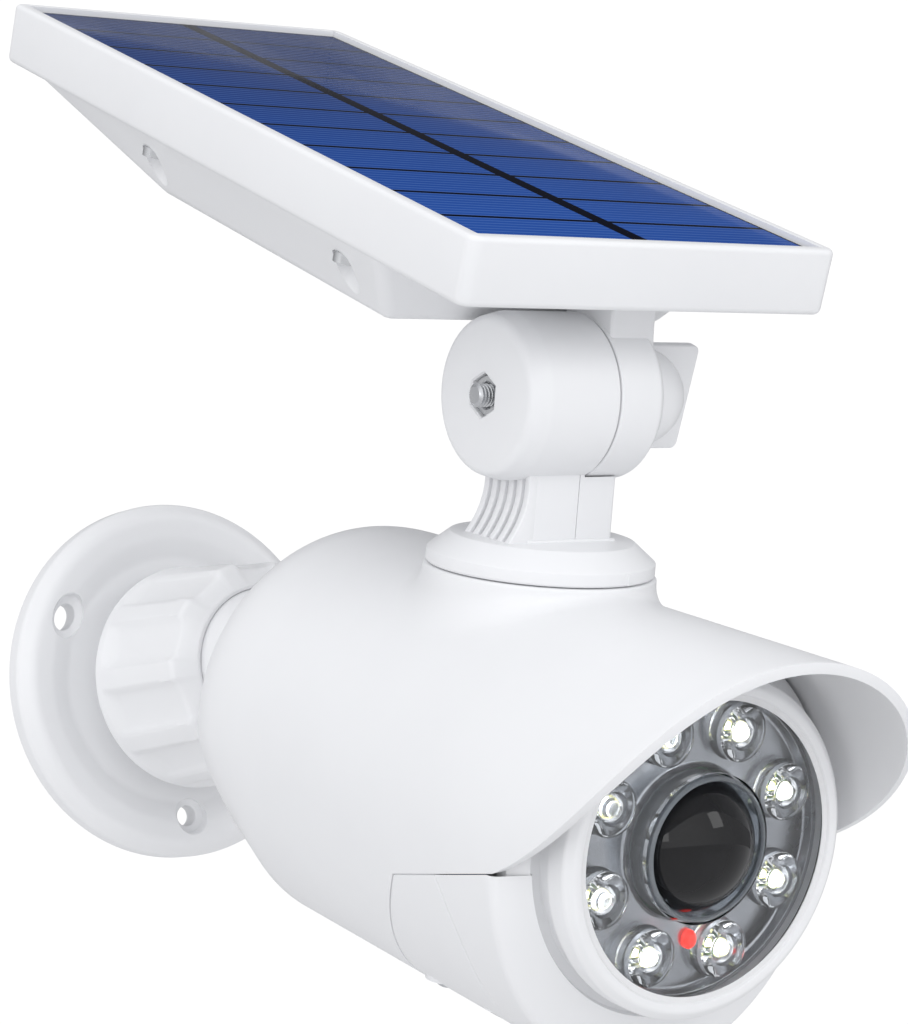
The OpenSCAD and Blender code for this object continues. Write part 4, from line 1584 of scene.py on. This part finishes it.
@dataclass
class Lamp:
    """The window with its bezel, the lit lenses over the reflector and the dark sensor dome."""

    window_front: float = 0.1747
    window_radius: float = 0.030
    bezel_radius: float = 0.035
    bezel_rear: float = 0.1685
    tube_radius: float = 0.0336
    circle: float = 0.0238
    lens_radius: float = 0.0058
    lens_front: float = 0.171
    lens_rear: float = 0.1624
    chips: int = 8
    dome_ball: float = 0.0144
    dome_tip: float = 0.1812
    dome_radius: float = 0.0136
    board_front: float = 0.1606

    def build(self, finishes: Finishes) -> None:
        """Build the lamp.

        Args:
            finishes: The materials.
        """
        self.build_bezel(finishes)
        self.build_window(finishes)
        self.build_reflector(finishes)
        self.build_lenses(finishes)
        self.build_chips(finishes)
        self.build_dome(finishes)

    def around(self, make: Callable[[], bmesh.types.BMesh]) -> bmesh.types.BMesh:
        """Repeat a shape at every diode.

        Args:
            make: Makes one shape about +Z.

        Returns:
            All the shapes in one.
        """
        parts = []
        for k in range(self.chips):
            turn = (k + 0.5) * 2 * math.pi / self.chips
            spot = Matrix.Translation((self.circle * math.sin(turn), -self.circle * math.cos(turn), 0))
            parts.append(moved(make(), spot))
        return together(parts)

    def build_bezel(self, finishes: Finishes) -> None:
        """Turn the bezel with its rounded rim and thin inner lip.

        Args:
            finishes: The materials.
        """
        outer, front, inner = self.bezel_radius, self.window_front + 0.6 * MM, self.window_radius
        outline = soften(
            [
                (self.tube_radius + 0.1 * MM, self.bezel_rear, 0),
                (outer - 0.5 * MM, self.bezel_rear, 0.3 * MM),
                (outer, self.bezel_rear + 0.6 * MM, 0.4 * MM),
                (outer, front - 1.6 * MM, 1.3 * MM),
                (outer - 1.8 * MM, front, 1.6 * MM),
                (inner + 1.5 * MM, front - 0.1 * MM, 0.5 * MM),
                (inner + 1.2 * MM, front - 0.7 * MM, 0.2 * MM),
                (inner + 0.4 * MM, front - 0.8 * MM, 0.3 * MM),
                (inner, front - 1.3 * MM, 0.2 * MM),
                (inner, self.window_front - 0.1 * MM + 0.03 * MM, 0),
                (self.tube_radius + 0.1 * MM, self.window_front - 0.07 * MM, 0),
            ],
            steps=6,
        )
        bm = turned(outline, 180, closed=True)
        add_piece("bezel_moulding", bm, Body.HEAD, Slot.WHITE, finishes.white, HEAD @ AHEAD, ["bezel_ring"], 40.0)

    def build_window(self, finishes: Finishes) -> None:
        """Turn the clear window plate.

        Args:
            finishes: The materials.
        """
        rear, front = self.window_front - 2.0 * MM, self.window_front - 0.1 * MM
        outer, inner = self.tube_radius - 0.2 * MM, self.dome_radius + 1.75 * MM
        outline = soften(
            [(inner, rear, 0), (outer, rear, 0.1 * MM), (outer, front, 0.15 * MM), (inner, front, 0.15 * MM),
             (inner, rear, 0)][:-1],
            steps=3,
        )
        bm = turned(outline, 128, closed=True)
        add_piece(
            "window_plate", bm, Body.HEAD, Slot.CLEAR, finishes.clear, HEAD @ AHEAD, ["front_window"], crease=30.0
        )

    def build_reflector(self, finishes: Finishes) -> None:
        """Turn the metallised reflector and sink a cup round every diode.

        Args:
            finishes: The materials.
        """
        base, top = self.board_front + 0.1 * MM, 167.6 * MM
        outer = 31.2 * MM
        plate = turned(
            soften(
                [(15.5 * MM, base, 0), (outer, base, 0), (outer, 169.6 * MM, 0),
                 (outer - 0.9 * MM, 169.6 * MM, 0.2 * MM),
                 (outer - 1.6 * MM, top, 0.8 * MM), (15.9 * MM, top, 0.8 * MM), (15.5 * MM, 168.9 * MM, 0)], 4
            ),
            160,
            closed=True,
        )
        cutters = []
        for k in range(self.chips):
            turn = (k + 0.5) * 2 * math.pi / self.chips
            cup = turned(
                soften([(0, base - MM, 0), (2.7 * MM, base - MM, 0), (2.9 * MM, base + 1.2 * MM, 1 * MM),
                        (5.9 * MM, top - 0.4 * MM, 1.2 * MM), (6.4 * MM, top + MM, 0), (0, top + MM, 0)], 4),
                48,
            )
            spot = Matrix.Translation((self.circle * math.sin(turn), -self.circle * math.cos(turn), 0))
            cutters.append(moved(cup, spot))
        plate = cut(plate, cutters)
        add_piece(
            "reflector_tray", plate, Body.HEAD, Slot.REFLECTOR, finishes.reflector, HEAD @ AHEAD, ["reflector"], 32.0
        )

    def build_lenses(self, finishes: Finishes) -> None:
        """Turn the clear lenses, each a bowl with a hollow foot and a stepped rim.

        Args:
            finishes: The materials.
        """
        rear, front, rim = self.lens_rear, self.lens_front, self.lens_radius
        outline = soften(
            [
                (0.0, rear + 2.6 * MM, 0),
                (1.0 * MM, rear + 2.3 * MM, 0.6 * MM),
                (1.7 * MM, rear + 1.6 * MM, 0.4 * MM),
                (1.9 * MM, rear, 0.1 * MM),
                (2.5 * MM, rear, 0.1 * MM),
                (3.9 * MM, rear + 3.2 * MM, 2.0 * MM),
                (rim - 0.3 * MM, front - 1.6 * MM, 0.4 * MM),
                (rim, front - 1.4 * MM, 0.1 * MM),
                (rim, front - 0.2 * MM, 0.15 * MM),
                (rim - 0.5 * MM, front, 0.2 * MM),
                (3.4 * MM, front, 0.3 * MM),
                (2.9 * MM, front - 0.5 * MM, 0.2 * MM),
                (1.6 * MM, front - 0.1 * MM, 0.8 * MM),
                (0.0, front, 0),
            ],
            steps=4,
        )
        bm = self.around(lambda: turned(outline, 48))
        add_piece("led_lens_set", bm, Body.HEAD, Slot.CLEAR, finishes.lens, HEAD @ AHEAD, ["led_lenses"], 30.0)

    def build_chips(self, finishes: Finishes) -> None:
        """Build the diode packages: a phosphor pad with a lit die on it, and the red indicator's cap.

        Args:
            finishes: The materials.
        """
        base = self.board_front
        pads = self.around(
            lambda: slab((-1.75 * MM, -1.75 * MM, base), (1.75 * MM, 1.75 * MM, base + 0.7 * MM), 0.2 * MM, 2)
        )
        place = HEAD @ AHEAD
        add_piece("led_phosphor_pads", pads, Body.HEAD, Slot.PHOSPHOR, finishes.phosphor, place, ["led_emitters"])
        dies = self.around(
            lambda: turned(
                [(1.35 * MM * math.cos(t), base + 0.62 * MM + 1.0 * MM * math.sin(t)) for t in
                 [math.pi / 2 * k / 6 for k in range(7)]], 24
            )
        )
        add_piece("led_lit_dies", dies, Body.HEAD, Slot.PHOSPHOR, finishes.lit, place, ["led_emitters"])
        cap = turned(
            soften([(0, base + 0.1 * MM, 0), (1.5 * MM, base + 0.1 * MM, 0), (1.5 * MM, base + 7.9 * MM, 0.3 * MM),
                    (1.0 * MM, base + 8.7 * MM, 0.8 * MM), (0, base + 8.9 * MM, 0)], 5), 32
        )
        moved(cap, Matrix.Translation((2.2 * MM, -20.0 * MM, 0)) @ Matrix.Diagonal((1.0, 1.25, 1.0, 1.0)))
        add_piece("indicator_cap", cap, Body.HEAD, Slot.INDICATOR, finishes.indicator, place, ["indicator_led"])

    def build_dome(self, finishes: Finishes) -> None:
        """Turn the smoked sensor dome and the clear ring that holds it.

        Args:
            finishes: The materials.
        """
        ball, centre, foot = self.dome_ball, self.dome_tip - self.dome_ball, 167.7 * MM
        sweep = math.asin(self.dome_radius / ball)
        outside = [(ball * math.sin(sweep * k / 24), centre + ball * math.cos(sweep * k / 24)) for k in range(25)]
        skin = 1.4 * MM
        inside = [
            ((self.dome_radius - skin) * math.sin(sweep * k / 16) / math.sin(sweep),
             centre + (ball - skin) * math.cos(sweep * k / 16))
            for k in range(17)
        ]
        outline = outside + [(self.dome_radius, foot), (self.dome_radius - skin, foot)] + inside[::-1]
        place = HEAD @ AHEAD
        add_piece(
            "sensor_lens", turned(outline, 128), Body.HEAD, Slot.SMOKED, finishes.smoked, place, ["sensor_dome"]
        )
        inner, outer, front = self.dome_radius + 0.12 * MM, self.dome_radius + 1.2 * MM, self.window_front + 0.6 * MM
        ring = turned(
            soften([(inner, foot, 0), (outer, foot, 0.2 * MM), (outer, front - 0.5 * MM, 0.4 * MM),
                    (outer - 0.5 * MM, front, 0.4 * MM), (inner + 0.3 * MM, front, 0.2 * MM),
                    (inner, front - 0.5 * MM, 0)], 4),
            128,
            closed=True,
        )
        add_piece("sensor_ring", ring, Body.HEAD, Slot.CLEAR, finishes.blue_clear, place, ["dome_ring"], 30.0)


# ---- Swivel and hinge ------------------------------------------------------


@dataclass
class Swivel:
    """The turntable, its ribbed neck, the left hinge disc with its nut, the bolt, and the wing knob."""

    turntable_radius: float = 0.0243
    turntable_low: float = 0.0453
    turntable_top: float = 0.052
    flat_radius: float = 0.0196
    disc_radius: float = 0.0176
    left_disc: tuple[float, float] = (-0.0185, 0.0038)
    right_disc: tuple[float, float] = (0.0045, 0.017)
    neck: tuple[float, float] = (-0.0095, 0.0125)
    neck_half: float = 0.008
    ribs: int = 6
    bolt_radius: float = 0.0025
    nut_corner: float = 0.00462

    def build(self, finishes: Finishes) -> None:
        """Build the swivel.

        Args:
            finishes: The materials.
        """
        self.build_turntable(finishes)
        self.build_neck(finishes)
        self.build_disc(finishes)
        self.build_nut(finishes)
        self.build_wing(finishes)
        self.build_bolt(finishes)

    def build_turntable(self, finishes: Finishes) -> None:
        """Turn the turntable with its sloped shoulder.

        Args:
            finishes: The materials.
        """
        radius, low, top = self.turntable_radius, self.turntable_low, self.turntable_top
        outline = soften(
            [
                (2.2 * MM, low - 3.3 * MM, 0),
                (8.94 * MM, low - 3.3 * MM, 0.3 * MM),
                (8.94 * MM, low, 0.1 * MM),
                (radius - 0.3 * MM, low, 0.2 * MM),
                (radius, low + 0.4 * MM, 0.2 * MM),
                (radius, low + 2.8 * MM, 0.5 * MM),
                (self.flat_radius, top, 0.7 * MM),
                (2.2 * MM, top, 0),
            ],
            steps=5,
        )
        bm = turned(outline, 144, closed=True)
        place = HEAD @ Matrix.Translation((0, -SWIVEL_AHEAD, 0))
        add_piece("turntable_moulding", bm, Body.SWIVEL, Slot.WHITE, finishes.white, place, ["swivel_base"], 32.0)
        key = moved(
            slab((-0.45 * MM, -0.25 * MM, low + 0.2 * MM), (0.45 * MM, 0.25 * MM, low + 2.5 * MM), 0.12 * MM, 2),
            Matrix.Rotation(math.radians(12), 4, "Z") @ Matrix.Translation((0, -radius, 0)),
        )
        add_piece("turntable_mark", key, Body.SWIVEL, Slot.WHITE, finishes.white, place, ["swivel_base"])

    def build_neck(self, finishes: Finishes) -> None:
        """Build the neck block with its seam, foot fillet and flared ribs.

        Args:
            finishes: The materials.
        """
        top = self.turntable_top
        left, right = self.neck
        saddle = HINGE_UP - self.disc_radius
        block = slab(
            (left, -self.neck_half, top - 0.5 * MM), (right, self.neck_half, HINGE_UP - 6 * MM), 1.3 * MM, 4
        )
        seam = slab(
            (2.4 * MM, -self.neck_half - MM, top + 0.6 * MM), (2.6 * MM, -self.neck_half + 0.25 * MM, HINGE_UP)
        )
        hollow = moved(
            turned([(0, 3.7 * MM), (self.disc_radius + 0.4 * MM, 3.7 * MM), (self.disc_radius + 0.4 * MM, 30 * MM),
                    (0, 30 * MM)], 96),
            Matrix.Translation((0, 0, HINGE_UP)) @ ACROSS,
        )
        block = cut(block, [hollow, seam])
        ribs = []
        thick = 1.7 * MM
        for k in range(self.ribs):
            outline = [(left + 1.2 * MM, top - 0.4 * MM), (left - 5.2 * MM, top - 0.4 * MM)]
            for step in range(9):
                t = step / 8
                flare = 4.7 * MM * (1 - t) ** 2.6 + 0.9 * MM * t**3
                outline.append((left - 0.4 * MM - flare, top + (saddle + 3.5 * MM - top) * t))
            outline.append((left + 1.2 * MM, saddle + 3.5 * MM))
            rib = prism(outline[::-1], thick)
            round_edges(rib, 0.45 * MM, 3, 0.9)
            spot = -self.neck_half + thick / 2 + k * (2 * self.neck_half - thick) / (self.ribs - 1)
            ribs.append(moved(rib, Matrix.Translation((0, spot, 0))))
        foot = slab((left - 0.5 * MM, -self.neck_half - 0.5 * MM, top - 0.4 * MM),
                    (right + 0.5 * MM, self.neck_half + 0.5 * MM, top + 0.5 * MM), 0.4 * MM, 3)
        bm = together([block, foot, *ribs])
        place = HEAD @ Matrix.Translation((0, -SWIVEL_AHEAD, 0))
        add_piece("neck_moulding", bm, Body.SWIVEL, Slot.WHITE, finishes.white, place, ["swivel_base"], 40.0)

    def build_disc(self, finishes: Finishes) -> None:
        """Turn the left hinge disc with its wide rounded shoulder and hexagonal pocket.

        Args:
            finishes: The materials.
        """
        start, end = self.left_disc[0], self.left_disc[1] + 0.4 * MM
        radius = self.disc_radius
        pocket = self.nut_corner + 0.08 * MM
        outline = [
            (self.bolt_radius + 0.06 * MM, start + 5 * MM), (pocket, start + 5 * MM), (pocket, start + 0.35 * MM)
        ]
        outline += soften(
            [
                (pocket + 0.3 * MM, start, 0),
                (radius - 7.5 * MM, start, 0),
                (radius - 1.2 * MM, start + 0.5 * MM, 2.5 * MM),
                (radius, start + 5.2 * MM, 5.0 * MM),
                (radius, end - 0.5 * MM, 0.0),
                (radius - 0.35 * MM, end - 0.1 * MM, 0.0),
                (radius - 0.7 * MM, end, 0.0),
                (self.bolt_radius + 0.06 * MM, end, 0),
            ],
            steps=10,
        )
        bm = turned(outline, 192, closed=True)
        fit_hexagon(bm, pocket, pocket, start, start + 5.1 * MM)
        fit_hexagon(bm, pocket + 0.3 * MM, pocket + 0.4 * MM, start - MM, start + 0.1 * MM)
        add_piece(
            "left_disc_moulding", bm, Body.SWIVEL, Slot.WHITE, finishes.white, HINGE @ ACROSS, ["swivel_base"], 32.0
        )

    def build_nut(self, finishes: Finishes) -> None:
        """Turn the zinc nut in the pocket.

        Args:
            finishes: The materials.
        """
        start = self.left_disc[0]
        corner = self.nut_corner - 0.05 * MM
        bore = self.bolt_radius + 0.07 * MM
        outline = [
            (bore, start + 5 * MM), (corner, start + 5 * MM), (corner, start + 1.5 * MM),
            (corner - 0.55 * MM, start + 1.0 * MM), (bore + 0.5 * MM, start + 1.0 * MM), (bore, start + 1.4 * MM),
        ]
        bm = turned(outline, 96, closed=True)
        fit_hexagon(bm, corner, corner, start, start + 6 * MM)
        place = HINGE @ ACROSS
        add_piece("hinge_nut_turned", bm, Body.SWIVEL, Slot.STEEL, finishes.steel, place, ["hinge_nut"], 28.0)

    def build_wing(self, finishes: Finishes) -> None:
        """Build the wing knob: a dome with a flat wing through it.

        Args:
            finishes: The materials.
        """
        start = self.right_disc[1] + 0.3 * MM
        knob = 11.5 * MM
        outline = [(self.bolt_radius, start)] + soften(
            [(knob - 0.6 * MM, start, 0), (knob, start + 0.6 * MM, 0.4 * MM)], 3
        )
        outline += [(knob * math.cos(t), start + 1 * MM + 14 * MM * math.sin(t)) for t in
                    [math.pi / 2 * k / 20 for k in range(21)]]
        dome = turned([(0.0, start)] + outline[1:], 112)
        moved(dome, ACROSS)
        wing = slab((start + 0.4 * MM, -1.3 * MM, -11.8 * MM), (start + 18 * MM, 1.3 * MM, 11.8 * MM))
        round_edges(wing, 1.6 * MM, 5, 0.6, lambda e: abs(e.verts[0].co.y - e.verts[1].co.y) > MM
                    and e.verts[0].co.x > start + 10 * MM)
        round_edges(wing, 0.45 * MM, 3, 0.8)
        moved(wing, Matrix.Rotation(math.radians(13), 4, "X"))
        bm = together([dome, wing])
        add_piece("wing_knob_moulding", bm, Body.WING, Slot.WHITE, finishes.white, HINGE, ["wing_knob"], 38.0)

    def build_bolt(self, finishes: Finishes) -> None:
        """Turn the bolt with a thread on its free end.

        Args:
            finishes: The materials.
        """
        tip, end = self.left_disc[0] - 2 * MM, self.right_disc[1] + 8.3 * MM
        radius, pitch = self.bolt_radius, 0.8 * MM
        crest, root = radius - 0.02 * MM, radius - 0.48 * MM
        outline = [(0.0, tip), (radius - 0.75 * MM, tip), (radius - 0.45 * MM, tip + 0.25 * MM)]
        for k in range(10):
            z = tip + 0.45 * MM + k * pitch
            outline += [(crest, z), (crest, z + 0.14 * MM), (root, z + 0.40 * MM), (root, z + 0.52 * MM)]
        outline += [(crest, tip + 8.6 * MM), (crest, end - 0.3 * MM), (radius - 0.3 * MM, end), (0.0, end)]
        add_piece(
            "hinge_bolt_turned", turned(outline, 64), Body.WING, Slot.STEEL, finishes.steel, HINGE @ ACROSS,
            ["hinge_bolt"], 30.0,
        )


# ---- Solar panel -----------------------------------------------------------


@dataclass
class SolarPanel:
    """The tilting panel: arm, frame, laminate and the sloped cover under it."""

    width: float = 0.0936
    length: float = 0.203
    front: float = -0.025
    under: float = 0.0259
    thick: float = 0.0142
    rim: float = 0.003
    sink: float = 0.0013
    glass: float = 0.0032
    arm: tuple[float, float] = (0.0045, 0.017)
    disc_radius: float = 0.0176
    bolt_radius: float = 0.0025
    hump_low: float = 0.011
    hump_ends: tuple[float, float] = (0.006, 0.163)
    hump_floor: tuple[float, float] = (0.0146, 0.111)
    hump_slope: float = 0.0105
    screw_x: float = 0.0413
    screw_ys: tuple[float, float] = (0.024, 0.108)

    def build(self, finishes: Finishes) -> None:
        """Build the panel.

        Args:
            finishes: The materials.
        """
        self.build_arm(finishes)
        self.build_frame(finishes)
        self.build_laminate(finishes)
        self.build_cover(finishes)

    def build_arm(self, finishes: Finishes) -> None:
        """Turn the right hinge disc and sweep its arm up to the panel.

        Args:
            finishes: The materials.
        """
        start, end = self.arm
        radius = self.disc_radius
        outline = soften(
            [
                (self.bolt_radius + 0.06 * MM, start, 0),
                (radius - 0.3 * MM, start, 0.2 * MM),
                (radius, start + 0.4 * MM, 0.3 * MM),
                (radius, end - 2.2 * MM, 1.8 * MM),
                (radius - 2.0 * MM, end, 1.8 * MM),
                (self.bolt_radius + 0.06 * MM, end, 0),
            ],
            steps=6,
        )
        disc = moved(turned(outline, 144, closed=True), ACROSS)
        half = 7.0 * MM
        side = []
        flare = 5.0 * MM
        low = 12.5 * MM
        for k in range(13):
            t = k / 12
            out = half + 2.4 * MM * (1 - t) ** 2 * (1 if t < 1 else 0) + flare * max(0.0, t - 0.45) ** 2 * 1.1
            side.append((out, low + (self.under + 0.3 * MM - low) * t))
        profile = [(x, z) for x, z in side] + [(-x, z) for x, z in reversed(side)]
        arm = prism(profile[::-1], end - start - 0.8 * MM)
        moved(arm, Matrix.Rotation(math.pi / 2, 4, "Z"))
        moved(arm, Matrix.Translation(((start + end) / 2, 0, 0)))
        round_edges(arm, 1.2 * MM, 4, 1.2)
        bm = together([disc, arm])
        add_piece("panel_arm_moulding", bm, Body.PANEL, Slot.WHITE, finishes.white, PANEL, ["panel_arm"], 40.0)

    def build_frame(self, finishes: Finishes) -> None:
        """Build the frame: a drafted block with rounded corners and a sunk seat for the laminate.

        Args:
            finishes: The materials.
        """
        half, top = self.width / 2, self.under + self.thick
        bm = slab((-half, self.front, self.under), (half, self.front + self.length, top))
        round_edges(bm, 3.0 * MM, 6, 0.6, lambda e: abs(e.verts[0].co.z - e.verts[1].co.z) > 5 * MM)
        face = max(bm.faces, key=lambda f: f.calc_center_median().z)
        bmesh.ops.inset_region(bm, faces=[face], thickness=self.rim, use_even_offset=True)
        floor = max(bm.faces, key=lambda f: (round(f.calc_center_median().z, 5), f.calc_area()))
        sunk = bmesh.ops.extrude_face_region(bm, geom=[floor])
        bmesh.ops.delete(bm, geom=[floor], context="FACES_ONLY")
        lowered = [g for g in sunk["geom"] if isinstance(g, bmesh.types.BMVert)]
        bmesh.ops.translate(bm, vec=(0, 0, -self.sink - 1.2 * MM), verts=lowered)
        bmesh.ops.recalc_face_normals(bm, faces=bm.faces[:])
        round_edges(bm, 1.1 * MM, 4, 0.9, lambda e: all(v.co.z > top - 1e-5 for v in e.verts) and self.is_outer(e))
        round_edges(bm, 1.4 * MM, 4, 0.9, lambda e: all(v.co.z < self.under + 1e-5 for v in e.verts))
        round_edges(bm, 0.35 * MM, 2, 0.9, lambda e: all(v.co.z > top - 1e-5 for v in e.verts))
        add_piece("panel_frame_moulding", bm, Body.PANEL, Slot.WHITE, finishes.white, PANEL, ["panel_frame"], 40.0)

    def is_outer(self, edge: bmesh.types.BMEdge) -> bool:
        """Tell whether an edge of the frame's top lies on its outside.

        Args:
            edge: The edge.

        Returns:
            True on the outline, false round the laminate's seat.
        """
        half, middle = self.width / 2, self.front + self.length / 2
        spot = (edge.verts[0].co + edge.verts[1].co) / 2
        return abs(spot.x) > half - 2.0 * MM or abs(spot.y - middle) > self.length / 2 - 2.0 * MM

    def build_laminate(self, finishes: Finishes) -> None:
        """Build the cell laminate and lay its map out along the panel.

        Args:
            finishes: The materials.
        """
        half, top = self.width / 2 - self.rim - 0.1 * MM, self.under + self.thick - self.sink
        low, high = self.front + self.rim + 0.1 * MM, self.front + self.length - self.rim - 0.1 * MM
        bm = slab((-half, low, top - self.glass), (half, high, top), 0.25 * MM, 2)
        layer = bm.loops.layers.uv.new("cells")
        for face in bm.faces:
            for loop in face.loops:
                spot = loop.vert.co
                loop[layer].uv = ((spot.x + half) / (2 * half), (spot.y - low) / (high - low))
        add_piece(
            "cell_laminate", bm, Body.PANEL, Slot.SOLAR_GLASS, finishes.solar, PANEL, ["panel_glass", "cell_strips"]
        )

    def build_cover(self, finishes: Finishes) -> None:
        """Build the sloped cover under the frame and sink its screw wells.

        Args:
            finishes: The materials.
        """
        half = self.width / 2 - 0.8 * MM
        bm = bmesh.new()
        bmesh.ops.create_cube(bm, size=1.0)
        for vert in bm.verts:
            rear, high = vert.co.y > 0, vert.co.z > 0
            ends = self.hump_ends if high else self.hump_floor
            across = half if high else half - self.hump_slope
            vert.co = Vector((
                math.copysign(across, vert.co.x), ends[1] if rear else ends[0],
                self.under + 0.2 * MM if high else self.hump_low,
            ))
        round_edges(bm, 2.6 * MM, 6, 0.2, lambda e: min(v.co.z for v in e.verts) < self.hump_low + 1e-6)
        wells = []
        for x in (-self.screw_x, self.screw_x):
            for y in self.screw_ys:
                well = turned(
                    soften([(0, -20 * MM, 0), (3.9 * MM, -20 * MM, 0), (3.6 * MM, -0.6 * MM, 0.5 * MM),
                            (2.8 * MM, 0, 0), (0, 0, 0)], 4), 40
                )
                wells.append(moved(well, Matrix.Translation((x, y, self.under - 3 * MM))))
        bm = cut(bm, wells)
        add_piece("panel_cover_moulding", bm, Body.PANEL, Slot.WHITE, finishes.white, PANEL, ["panel_cover"], 30.0)


# ---- Small and inner parts -------------------------------------------------


@dataclass
class SmallParts:
    """The button under the belly, and the finishes of the CAD nodes that stay as they are."""

    button_ahead: float = 0.136
    button_radius: float = 0.005

    def build(self, finishes: Finishes) -> None:
        """Build the button and dress the inner nodes.

        Args:
            finishes: The materials.
        """
        self.build_button(finishes)
        self.dress_nodes(finishes)

    def build_button(self, finishes: Finishes) -> None:
        """Turn the soft button cap at the height that the CAD node gives.

        Args:
            finishes: The materials.
        """
        low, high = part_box("mode_button")
        corner = HEAD.inverted() @ ((low + high) / 2)
        base = corner.z - 3.9 * MM
        bm = turned(
            soften([(0, base, 0), (3.2 * MM, base, 1.0 * MM), (4.9 * MM, base + 0.9 * MM, 0.8 * MM),
                    (self.button_radius, base + 2.0 * MM, 0.3 * MM), (self.button_radius, base + 5.2 * MM, 0),
                    (6.0 * MM, base + 5.25 * MM, 0), (6.0 * MM, base + 6.2 * MM, 0), (0, base + 6.8 * MM, 0)], 5), 64
        )
        place = HEAD @ Matrix.Translation((0, -self.button_ahead, 0))
        add_piece("button_cap", bm, Body.BUTTON, Slot.RUBBER, finishes.rubber, place, ["mode_button"])

    def dress_nodes(self, finishes: Finishes) -> None:
        """Give every CAD node a material, by the slot its subpart names.

        Args:
            finishes: The materials.
        """
        by_slot = {
            Slot.WHITE: finishes.white, Slot.CLEAR: finishes.clear, Slot.SMOKED: finishes.smoked,
            Slot.STEEL: finishes.steel, Slot.REFLECTOR: finishes.reflector, Slot.BOARD: finishes.board,
            Slot.PHOSPHOR: finishes.phosphor, Slot.INDICATOR: finishes.indicator, Slot.RUBBER: finishes.rubber,
            Slot.BLACK: finishes.black, Slot.WRAP: finishes.wrap, Slot.SOLAR_GLASS: finishes.solar,
            Slot.SOLAR_CELL: finishes.solar, Slot.WIRE: finishes.wire,
        }
        slots = {part["node"]: part["material_slot"] for part in frame["record"]["subparts"]}
        for name, node in frame["nodes"].items():
            finish = by_slot[Slot(slots[name])]
            if name == "ball_stem":
                finish = finishes.ball_white
            node.data.materials.clear()
            node.data.materials.append(finish)
        log.info("dressed %d CAD nodes", len(frame["nodes"]))


def main() -> None:
    """Build the light and its studio, piece by piece."""
    logging.basicConfig(level=logging.INFO, format="%(name)s: %(message)s")
    finishes = Finishes()
    Studio().build(finishes)
    WallMount().build(finishes)
    Head().build(finishes)
    Lamp().build(finishes)
    Swivel().build(finishes)
    SolarPanel().build(finishes)
    SmallParts().build(finishes)


if __name__ == "__main__":
    main()
